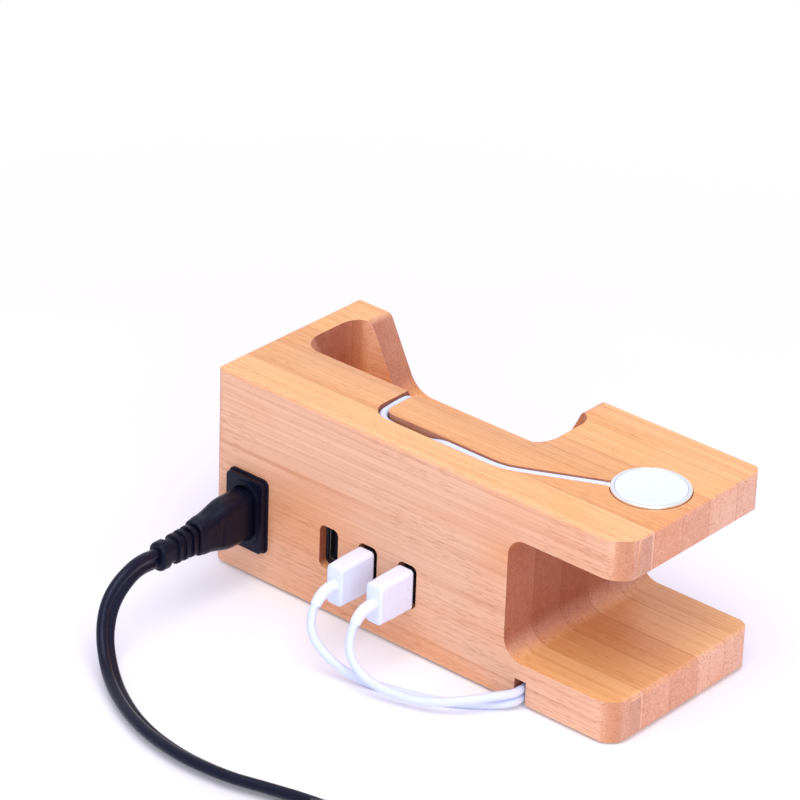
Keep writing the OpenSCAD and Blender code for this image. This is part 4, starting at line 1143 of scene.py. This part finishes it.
@dataclass
class ThumbPanels:
    """Ribbed fields that sink into both sides of the connector's grip, in millimetres.

    Args:
        middle: place of the fields' middle along the grip.
        half_length, half_height: half of a field's sides, its border included.
        border: width of its sloping border.
        depth: how deep it sinks.
        rib, pitch: height of its ribs above and below that, and the distance between them.
    """
    middle: float = 12.6
    half_length: float = 6.0
    half_height: float = 5.2
    border: float = 0.5
    depth: float = 0.46
    rib: float = 0.16
    pitch: float = 1.9

    def sink(self, body: Array, origin: Array) -> None:
        """Moves the sides of the grip in by edge (depth - rib cos(2 pi y / pitch)).

        Args:
            body: rings of the grip in metres, which are changed.
            origin: where the grip begins, in millimetres.
        """
        local = body / MM - origin
        along = local[..., 1] - self.middle
        edge = share_of(self.half_length - np.abs(along), self.border) * \
            share_of(self.half_height - np.abs(local[..., 2]), self.border)
        ribs = self.rib * np.cos(2 * np.pi * along / self.pitch)
        body[..., 0] -= np.sign(local[..., 0]) * edge * (self.depth - ribs) * MM


@dataclass
class RibbedSleeve:
    """The connector's strain relief, in millimetres from the grip's end.

    Args:
        start, stop: where it begins inside the grip, and where it ends.
        rib_middle, pitch, ribs: middle of the first rib, distance between ribs, and their number.
        rib_half, flank: half of a rib's foot, and the width of its slope.
        taper_end: where the taper ends.
        collar_start, collar_slope: where the end's collar begins, and the width of its slope.
        round_start: where the end begins to round off.
        core, core_taper: width and height between the ribs, and what the taper takes off them.
        rise, rise_taper: what a rib adds to them, and what the taper takes off that.
        collar: what the collar adds to them.
        round_depth: what the rounded end takes off them.
    """
    start: float = -3.6
    stop: float = 18.6
    rib_middle: float = 2.35
    pitch: float = 3.6
    ribs: int = 3
    rib_half: float = 1.05
    flank: float = 0.3
    taper_end: float = 14.4
    collar_start: float = 14.0
    collar_slope: float = 0.5
    round_start: float = 17.2
    core: tuple[float, float] = (6.2, 9.6)
    core_taper: tuple[float, float] = (0.3, 0.5)
    rise: tuple[float, float] = (1.8, 2.5)
    rise_taper: tuple[float, float] = (0.3, 0.8)
    collar: tuple[float, float] = (1.7, 1.9)
    round_depth: float = 2.2

    def rings(self, origin: Array) -> Array:
        """Rings along Y: side = core - k core_taper + rib (rise - k rise_taper) + collar - end.

        The taper's share k grows evenly, each rib and the collar rise as k^2 (3 - 2 k), and the
        end draws in by round_depth (1 - sqrt(1 - d^2)).

        Args:
            origin: the grip's end, in millimetres.

        Returns:
            The rings in metres.
        """
        at = np.linspace(self.start, self.stop, 220)[:, None]
        middles = self.rib_middle + self.pitch * np.arange(self.ribs)
        nearest = np.abs(at - middles).min(axis=1, keepdims=True)
        rib = eased(share_of(self.rib_half - nearest, self.flank))
        collar = eased(share_of(at - self.collar_start, self.collar_slope))
        k = share_of(at, self.taper_end)
        late = share_of(at - self.round_start, self.stop - self.round_start)
        drawn = 1 - np.sqrt(np.clip(1 - late ** 2, 0.04, 1))
        size = self.core - k * self.core_taper + rib * (self.rise - k * self.rise_taper) \
            + collar * self.collar - drawn * self.round_depth
        shapes = np.stack([rounded(w, h, w / 2 - 0.3, 8) for w, h in size])
        return swept(shapes, origin + at * Y_AXIS, X_AXIS, Z_AXIS) * MM


MAINS_ROUTE = [
    (75.3, 84, 27.6), (75.3, 87, 27.6), (75, 90, 28.1), (74.6, 94.8, 28), (74, 99.8, 26.8),
    (73.6, 104.6, 24.3), (72.9, 108.8, 20.8), (71.4, 112.4, 16.4), (68.7, 115.8, 11.5),
    (64.2, 119.4, 7.2), (57.4, 124, 4.2), (47.5, 130, 3.3), (35, 136, 3.2), (21, 140.2, 3.2),
    (5, 142, 3.2), (-12, 140.6, 3.2), (-27, 136.6, 3.2), (-40, 133.6, 3.3), (-52, 132.6, 3.6),
    (-64, 133.6, 4.1), (-76, 136.8, 4.6)]
MAINS_TILT = [0, 0, 2, 6, 12, 20, 28, 36, 42, 48, 52, 54, 54, 54, 54, 54, 52, 46, 34, 20, 8, 0, 0]


@dataclass
class MainsLead:
    """The mains lead: connector, relief, flat cord with its coil, tie and wall plug.

    Everything is in millimetres but for the angles.

    Args:
        width, thickness: the flat cord's section.
        web: thickness between the cord's two cores, as a share of the cord's.
        centre: middle of the coil.
        outer: radius of the coil's outermost turn.
        turns: turns in each of the two layers.
        climb: turns over which the cord climbs into the upper layer.
        bulge: how far it bows inwards on the way, in pitches.
        start_angle: where the coil begins, in degrees.
        gap: gap between neighbouring turns.
        lift: height of the lower layer's middle.
        inlet: the inlet's place as (x, y of the block's face, z).
        grip, nose: stations of the connector outside and inside the inlet.
        head, neck: stations of the wall plug and of its relief.
        neck_rib: width, height and corner radius of the relief's ribs.
        neck_ribs: where each of them begins and ends, for the first one.
        neck_pitch, neck_count: distance between two of them, and their number.
        parts: the pieces that ride with the cord, as they are made.
    """
    width: float = 7.6
    thickness: float = 4.0
    web: float = 0.7
    centre: tuple[float, float] = (-83.0, 187.0)
    outer: float = 45.5
    turns: float = 2.25
    climb: float = 0.5
    bulge: float = 3.4
    start_angle: float = -104.0
    gap: float = 0.6
    lift: float = 4.6
    inlet: Place = (75.3, 36.2, 27.6)
    grip: Stations = ((0.0, 10.2, 19.8, 3.9), (11.8, 10.2, 19.2, 3.7), (24.2, 9.0, 14.0, 3.2),
                      (28.2, 8.4, 12.9, 3.0))
    nose: Stations = ((-14.2, 8.2, 14.6, 4.0), (0.8, 8.2, 14.6, 4.0))
    head: Stations = ((14.4, 7.2, 12.4, 2.6), (28.0, 17.0, 24.4, 5.0), (43.0, 16.0, 23.4, 4.6))
    neck: Stations = ((-2.0, 5.4, 8.2, 2.2), (16.6, 6.6, 9.6, 2.6))
    neck_rib: Place = (6.6, 9.0, 2.6)
    neck_ribs: tuple[float, float] = (2.0, 4.1)
    neck_pitch: float = 3.6
    neck_count: int = 4
    parts: list[Obj] = field(default_factory=list)

    def coil(self) -> Array:
        """Middle line of the coil.

        After s turns it is at the angle a0 - 360 s, on the radius R - p s in the lower layer and
        r0 + p (s - n - c) in the upper. Between the two, at x = s - n, it bows inwards by
        bulge p x (1 - x / c) and climbs as k^2 (3 - 2 k) with k = x / c.

        Returns:
            Points in millimetres.
        """
        pitch, rise, climb = self.thickness + self.gap, self.width + self.gap, self.climb
        inner = self.outer - pitch * self.turns
        length = 2 * self.turns + climb
        s = np.linspace(0, length, int(length * 56))
        x = s - self.turns
        radius = np.where(x < 0, self.outer - pitch * s,
                          np.where(x > climb, inner + pitch * (x - climb),
                                   inner - self.bulge * pitch * x * (1 - x / climb)))
        angle = np.radians(self.start_angle - 360 * s)
        return np.stack([self.centre[0] + radius * np.cos(angle),
                         self.centre[1] + radius * np.sin(angle),
                         self.lift + rise * eased(share_of(x, climb))], axis=1)

    def middle_line(self) -> tuple[Array, Array]:
        """The cord's middle line from the relief into the wall plug, coil included.

        Returns:
            Its points in metres, and the section's tilt at each in radians.
        """
        coil = self.coil()
        enter, leave = tangents(coil)[[0, -1]]
        into = [coil[0] - (self.width + 3) * enter, coil[0] - self.width * enter]
        points = np.column_stack([np.vstack([MAINS_ROUTE, into, coil[:1]]), [*MAINS_TILT, 0.0]])
        free = smooth_through(points, 1.6)
        wound = np.column_stack([coil[1:], np.zeros(len(coil) - 1)])
        last = np.append(coil[-1] + self.width * leave, 0)
        whole = np.vstack([free, wound, last])
        return whole[:, :3] * MM, np.radians(whole[:, 3])

    def cord_outline(self) -> Array:
        """Outline of the flat cord: two arcs of pi + 2 asin(sqrt(1 - web^2)), joined by the web.

        Returns:
            The outline's points in metres.
        """
        r, c = self.thickness / 2, (self.width - self.thickness) / 2
        half = np.pi / 2 + math.asin(math.sqrt(1 - self.web ** 2))
        angle = np.linspace(-half, half, 15)
        lobe = np.stack([c + r * np.cos(angle), r * np.sin(angle)], axis=1)
        return np.vstack([lobe, -lobe]) * MM

    def cord(self) -> None:
        """Makes the cord as one piece, its section turned from upright by the tilt."""
        path, tilt = self.middle_line()
        along = tangents(path)
        up = unit(Z_AXIS - (along @ Z_AXIS)[:, None] * along)
        side = np.cross(along, up)
        wide = np.cos(tilt)[:, None] * up + np.sin(tilt)[:, None] * side
        rings = swept(self.cord_outline(), path, wide, np.cross(along, wide))
        piece = tube("flat_mains_cord", rings, crease=60)
        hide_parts("mains_cord", "mains_coil")
        dress(piece, CORD_SKIN, Body.LEAD)

    def connector(self) -> None:
        """Makes the connector's body with its thumb panels, and the ribbed relief."""
        x, face, z = self.inlet
        origin = np.array([x, face + 1.0, z])
        body = Loft(self.grip, 0.35, 0.7, 11).rings(origin)
        ThumbPanels().sink(body, origin)
        nose = Loft(self.nose, 1.2, 0.4, 11).rings(origin)
        piece = tube("connector_grip", body, nose, crease=50)
        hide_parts("mains_connector")
        self.parts.append(dress(piece, BLACK, Body.LEAD))
        sleeve = RibbedSleeve().rings(origin + self.grip[-1][0] * Y_AXIS)
        relief = tube("ribbed_relief", sleeve, crease=50)
        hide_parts("connector_relief")
        self.parts.append(dress(relief, BLACK, Body.LEAD))

    def plug(self) -> None:
        """Makes the wall plug at the coil's end, its blades and the coil's tie."""
        coil = self.coil()
        leave = tangents(coil)[-1]
        along = unit(leave * [1, 1, 0])
        lie = coil[-1] + self.width * leave, along, np.cross(along, Z_AXIS)
        head = Loft(self.head, 0.4, 1.1, 11).rings(*lie)
        neck = Loft(self.neck, 0.8, 0.5).rings(*lie)
        ribs = [Loft([(at + self.neck_pitch * i, *self.neck_rib) for at in self.neck_ribs],
                     0.2, 0.5).rings(*lie) for i in range(self.neck_count)]
        piece = tube("wall_plug_body", head, neck, *ribs, crease=50)
        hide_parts("wall_plug")
        self.parts.append(dress(piece, BLACK, Body.LEAD))
        blades = refined("plug_blades", "plug_blade_pair", 0.3)
        self.parts.append(dress(blades, BRASS, Body.LEAD))
        tie = refined("coil_tie", "coil_strap", 0.25)
        self.parts.append(dress(tie, STRAP, Body.LEAD))

    def build(self) -> None:
        """Makes the lead's pieces, the cord last."""
        self.connector()
        self.plug()
        self.cord()


# ---------------------------------------------------------------- the charging leads

class Use(Enum):
    """What a charging lead feeds."""
    WATCH = "watch"
    PHONE = "phone"


FREE_ROUTES = {
    Use.WATCH: [(0.4, 66.4, 16), (-1.8, 67.4, 11.8), (-6.6, 67.6, 7.8), (-13.4, 66.4, 5.2),
                (-21, 64.3, 4), (-28.2, 61.9, 4), (-34.8, 58.6, 4.8), (-41.4, 52.6, 5.8),
                (-46.4, 46, 6.4), (-49.8, 40.8, 6.4), (-50.8, 37.8, 6.4)],
    Use.PHONE: [(18, 66.4, 15.8), (14.6, 67.3, 11.4), (8.6, 66.7, 7), (1.6, 64.9, 3.6),
                (-6.8, 62.3, 1.7), (-17, 59.4, 1.6), (-24.2, 57.2, 1.6), (-30.7, 54.3, 1.6),
                (-37.6, 49.9, 1.6), (-44.4, 44.6, 1.8), (-49.6, 40.4, 2.7), (-50.8, 37.8, 3)]}
INNER_ROUTES = {
    Use.WATCH: [(-50.8, 38, 5.6), (-50.8, 35, 5.6), (-50.8, 22, 6.2), (-49.46, 17, 6.8),
                (-45.8, 13.34, 7.4), (-40.8, 12, 7.6), (-34, 12, 7.7), (-29, 11.1, 7.9),
                (-22, 6.4, 8.1), (-13.968, 0.794, 9.992), (-3.984, -6.007, 11.605),
                (7.984, -10.412, 13.36), (18.032, -12.203, 16.388), (26.032, -12.203, 21.595),
                (29.616, -12.203, 28.387), (30, -12.203, 36), (30, -12.303, 43.5),
                (30, -9.316, 50), (30, -4.697, 58), (30, 1.077, 68), (30, 3.2, 72.6),
                (30, 6.2, 75.6), (30, 10.5, 76.1), (30, 17.4, 75.7), (29.528, 19.773, 75.6),
                (28.184, 21.784, 75.5), (26.173, 23.128, 75.3), (23.8, 23.6, 75),
                (15.01, 23.6, 74.3), (6.005, 23.6, 74.8), (-0.99, 23.6, 76.3),
                (-8.012, 23.6, 76.4), (-21.167, 23.6, 76.4), (-26.847, 22.946, 76.4),
                (-32.231, 21.019, 76.4), (-59.211, 7.704, 76.4)],
    Use.PHONE: [(-50.8, 38, 2.2), (-50.8, 35, 2.2), (-50.8, 22, 2.8), (-49.46, 17, 3.4),
                (-45.8, 13.34, 4), (-40.8, 12, 4.2), (-34, 12, 4.3), (-29, 11.1, 4.5),
                (-22, 6.4, 4.7), (-13.977, -1.414, 4.805), (-4.027, -9.584, 5.19),
                (5.985, -16.994, 6.993), (14.513, -22.2, 10.383), (21.805, -25.012, 15.383),
                (26.379, -25.81, 21.562), (27.8, -26, 28.342), (27.8, -25.901, 32.744),
                (27.8, -24.401, 35.342)]}


@dataclass
class ChargeLead:
    """One charging lead: plug, shell, bent relief, and the lead on the desk and in the block.

    Everything is in millimetres but for the angle.

    Args:
        use: what the lead feeds.
        port_x: place of its port.
        port_z: height of the plug's middle.
        face: y of the block's back face.
        diameter: the lead's diameter.
        out: the plug's length outside the wood.
        body, body_end: the plug's width, height and corner radius, and those at its end.
        tongue, tongue_span: the same of the tongue, and where it begins and ends.
        tongue_off: shift of the tongue from the plug's middle.
        neck: straight part of the relief outside the plug.
        root, tail: its length inside the plug, and the straight part after its bend.
        bend: radius of the relief's bend.
        angle: its angle in degrees.
        thick, thin: radius of the relief at the plug, and what it loses towards its end.
        round_end: what the last three rings lose besides.
    """
    use: Use
    port_x: float
    port_z: float = 26.4
    face: float = 36.2
    diameter: float = 3.2
    out: float = 17.5
    body: Place = (7.4, 15.8, 1.7)
    body_end: Place = (7.2, 15.5, 1.9)
    tongue: Place = (1.8, 10.8, 0.3)
    tongue_span: tuple[float, float] = (-11.8, 1.4)
    tongue_off: Place = (-1.05, 0.0, 0.3)
    neck: float = 2.5
    root: float = 1.2
    tail: float = 1.0
    bend: float = 8.0
    angle: float = 53.0
    thick: float = 2.35
    thin: float = 0.5
    round_end: Place = (0.0, 0.06, 0.2)

    def bent_line(self) -> Array:
        """The relief's middle line: straight out of the plug, round the bend, and a short tail.

        Returns:
            Points in millimetres.
        """
        y0 = self.face + self.out
        turn = np.radians(np.linspace(0, self.angle, 22))
        flat = np.linspace(-self.root, self.neck, 6)[:-1]
        arc_y = y0 + self.neck + self.bend * np.sin(turn)
        arc_z = self.port_z - self.bend * (1 - np.cos(turn))
        tail = np.linspace(self.tail / 4, self.tail, 4)
        a = turn[-1]
        y = np.concatenate([y0 + flat, arc_y, arc_y[-1] + tail * math.cos(a)])
        z = np.concatenate([np.full(5, self.port_z), arc_z, arc_z[-1] - tail * math.sin(a)])
        return np.stack([np.full(len(y), self.port_x), y, z], axis=1)

    def plug(self) -> Obj:
        """Makes the plug's body with softly rounded edges, and the tongue in its shell.

        Returns:
            The plug.
        """
        origin = np.array([self.port_x, self.face, self.port_z])
        body = Loft([(0.4, *self.body), (9.0, *self.body), (self.out, *self.body_end)],
                    0.7, 0.9).rings(origin)
        tongue = Loft([(at, *self.tongue) for at in self.tongue_span], 1.6, 0.15, 3).rings(
            origin + self.tongue_off)
        piece = tube(f"{self.use.value}_plug_body", body, tongue, crease=50)
        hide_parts(f"{self.use.value}_usb_plug")
        return dress(piece, WHITE)

    def relief(self) -> Obj:
        """Makes the relief: a tube of radius thick - thin k^1.6 with a rounded end.

        Returns:
            The relief.
        """
        path = self.bent_line()
        wide, thin = carried_frames(path)
        radius = self.thick - self.thin * np.linspace(0, 1, len(path)) ** 1.6
        radius[-3:] -= self.round_end
        outline = circle(1.0, 28)[None] * radius[:, None, None]
        piece = tube(f"{self.use.value}_relief", swept(outline, path, wide, thin) * MM, crease=60)
        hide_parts(f"{self.use.value}_usb_relief")
        return dress(piece, WHITE)

    def lead(self, parts: list[Obj]) -> None:
        """Makes the lead from the relief over the desk and through the block to its far end.

        Args:
            parts: the pieces at its plug; not used.
        """
        start = self.bent_line()[-1]
        a = math.radians(self.angle)
        way = np.array([0, math.cos(a), -math.sin(a)])
        inner = np.array(INNER_ROUTES[self.use]) + BLOCK_SHIFT
        free = np.vstack([start, start + 2 * way, FREE_ROUTES[self.use]])
        path = smooth_through(np.vstack([free, inner]), 1.1)
        path[:, 2] = np.maximum(path[:, 2], self.diameter / 2)
        path *= MM
        rings = swept(circle(self.diameter / 2 * MM, 20), path, *carried_frames(path))
        piece = tube(f"{self.use.value}_charge_lead", rings, crease=60)
        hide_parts(f"{self.use.value}_lead", f"{self.use.value}_lead_inner")
        dress(piece, LEAD_SKIN)

    def build(self) -> None:
        """Makes the lead's pieces."""
        shell = refined(f"{self.use.value}_usb_shell", f"{self.use.value}_plug_shell", 0.08, 1)
        dress(shell, STEEL)
        self.lead([self.plug(), self.relief(), shell])


# ---------------------------------------------------------------- the block and what it holds

@dataclass
class Puck:
    """The charging puck on the arm, in millimetres but for the angle.

    Args:
        place: place of its underside.
        radius, height: its size.
        foot, brow: rounding of the cup's lower and upper edge.
        well: the cup's inside, as pairs of (way in from the radius, way down from the top).
        rim: the face's rim, as such pairs, from its foot to the edge of the dish.
        dish: how deep the face is dished.
        entry: height of the lead's collar.
        collar: pairs of (way out from the radius, the collar's own radius).
        entry_angle: side on which the lead enters, in degrees.
    """
    place: Place = (-73.2, -1.0, 72.0)
    radius: float = 14.0
    height: float = 7.8
    foot: float = 1.2
    brow: float = 0.5
    well: Pairs = ((1.35, 0.0), (1.45, 0.12), (1.5, 1.2), (14.0, 1.2))
    rim: Pairs = ((14.0, 1.2), (1.55, 1.2), (1.55, 0.12), (1.65, 0.03), (1.9, 0.02))
    dish: float = 0.5
    entry: float = 5.2
    collar: Pairs = ((-1.0, 1.62), (0.6, 1.62), (1.2, 1.56), (1.6, 1.4))
    entry_angle: float = 26.2666

    def inwards(self, pairs: Pairs) -> Array:
        """Pairs of (way in, way down) as (radius, height): (r - in, h - down)."""
        return [self.radius, self.height] - np.array(pairs)

    def cup_profile(self) -> Array:
        """Profile of the cup: level floor, quarter-round foot and brow, and the well.

        Returns:
            (radius, height) pairs from the axis round to the axis.
        """
        turn = np.linspace(0, np.pi / 2, 7)
        sine, cosine = np.sin(turn), np.cos(turn)
        foot = [self.radius - self.foot, self.foot] + self.foot * np.stack([sine, -cosine], 1)
        brow = self.inwards([(self.brow, self.brow)]) + self.brow * np.stack([cosine, sine], 1)
        return np.vstack([[0, 0], foot, brow, self.inwards(self.well)])

    def face_profile(self) -> Array:
        """Profile of the face: its rim, and the dish z = z0 - dish (1 - k^2) at k of its radius.

        Returns:
            (radius, height) pairs from the axis round to the axis.
        """
        rim = self.inwards(self.rim)
        k = 1 - np.linspace(0, 1, 10)
        reach, top = rim[-1]
        dish = np.stack([reach * k, top - self.dish * (1 - k ** 2)], axis=1)
        return np.vstack([rim[:-1], dish])

    def collar_rings(self) -> Array:
        """Rings of the collar in which the lead enters the cup: a short tube with a round end.

        Returns:
            The rings in millimetres.
        """
        angle = math.radians(self.entry_angle)
        way = np.array([math.cos(angle), math.sin(angle), 0])
        out, radius = np.array(self.collar).T
        path = self.place + self.entry * Z_AXIS + (self.radius + out)[:, None] * way
        outline = circle(1.0, 24)[None] * radius[:, None, None]
        return swept(outline, path, np.cross(Z_AXIS, way), Z_AXIS)

    def build(self) -> None:
        """Makes the steel cup with its collar, and the white face."""
        cup = tube("charging_puck_cup", turned(self.cup_profile(), self.place) * MM,
                   self.collar_rings() * MM, crease=30)
        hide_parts("charging_puck")
        dress(cup, CUP_STEEL)
        face = tube("charging_puck_face", turned(self.face_profile(), self.place) * MM, crease=30)
        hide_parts("puck_face")
        dress(face, WHITE)


class Block:
    """The bamboo block and the pieces that sit in its faces."""

    def wood(self) -> None:
        """Makes the bamboo block with its sharp edges eased."""
        dress(refined("wood_block", "bamboo_block", 0.35, 2, 38), BAMBOO)

    def inlet(self) -> None:
        """Makes the inlet's socket and dresses its pins and wires."""
        dress(refined("inlet_socket", "inlet_flange", 0.3, 3), BLACK)
        dress_node("inlet_pins", BRASS)
        dress_node("inlet_wires", WIRE_BLUE, WIRE_BROWN)

    def phone_tip(self) -> None:
        """Makes the connector that stands in the phone pocket."""
        dress(refined("phone_connector", "pocket_connector", 0.25, 3), WHITE)
        dress(refined("phone_connector_tip", "pocket_connector_tip", 0.2), STEEL)

    def underside(self) -> None:
        """Makes the cover, its screws and the feet."""
        dress(refined("bottom_cover", "vented_cover", 0.25), BLACK)
        dress(refined("cover_screws", "cover_screw_set", 0.12, 1), STEEL)
        dress(refined("rubber_feet", "foot_pads", 0.2), RUBBER)

    def supply(self) -> None:
        """Makes the housing and the ports of the power supply, and dresses its parts."""
        dress(refined("module_case", "supply_housing", 0.3), CASE)
        dress(refined("module_lid", "supply_lid", 0.25), CASE)
        dress(refined("usb_port_shells", "port_shell_set", 0.06, 1), NICKEL)
        dress(refined("usb_port_tongues", "port_tongue_set", 0.12, 1), BLACK)
        dress_node("case_screws", STEEL)
        dress_node("power_board", BOARD)
        dress_node("transformer", FERRITE, TAPE)
        dress_node("capacitors", SLEEVE)
        dress_node("filter_choke", COPPER)
        dress_node("mains_fuse", GLASS_TUBE)
        dress_node("heat_sink", ALUMINIUM)

    def build(self) -> None:
        """Makes the block's pieces."""
        self.wood()
        Puck().build()
        self.inlet()
        self.phone_tip()
        self.underside()
        self.supply()


def main() -> None:
    """Clears the start-up scene, then builds the camera, the leads, the block and the studio."""
    logging.basicConfig(level=logging.INFO, format="%(name)s: %(message)s")
    for spare in [held for held in bpy.data.objects if held.name in ("Cube", "Light", "Camera")]:
        bpy.data.objects.remove(spare)
    PhotoCamera().build()
    MainsLead().build()
    ChargeLead(Use.WATCH, 1.2).build()
    ChargeLead(Use.PHONE, 19.3).build()
    Block().build()
    Studio().build()


if __name__ == "__main__":
    main()
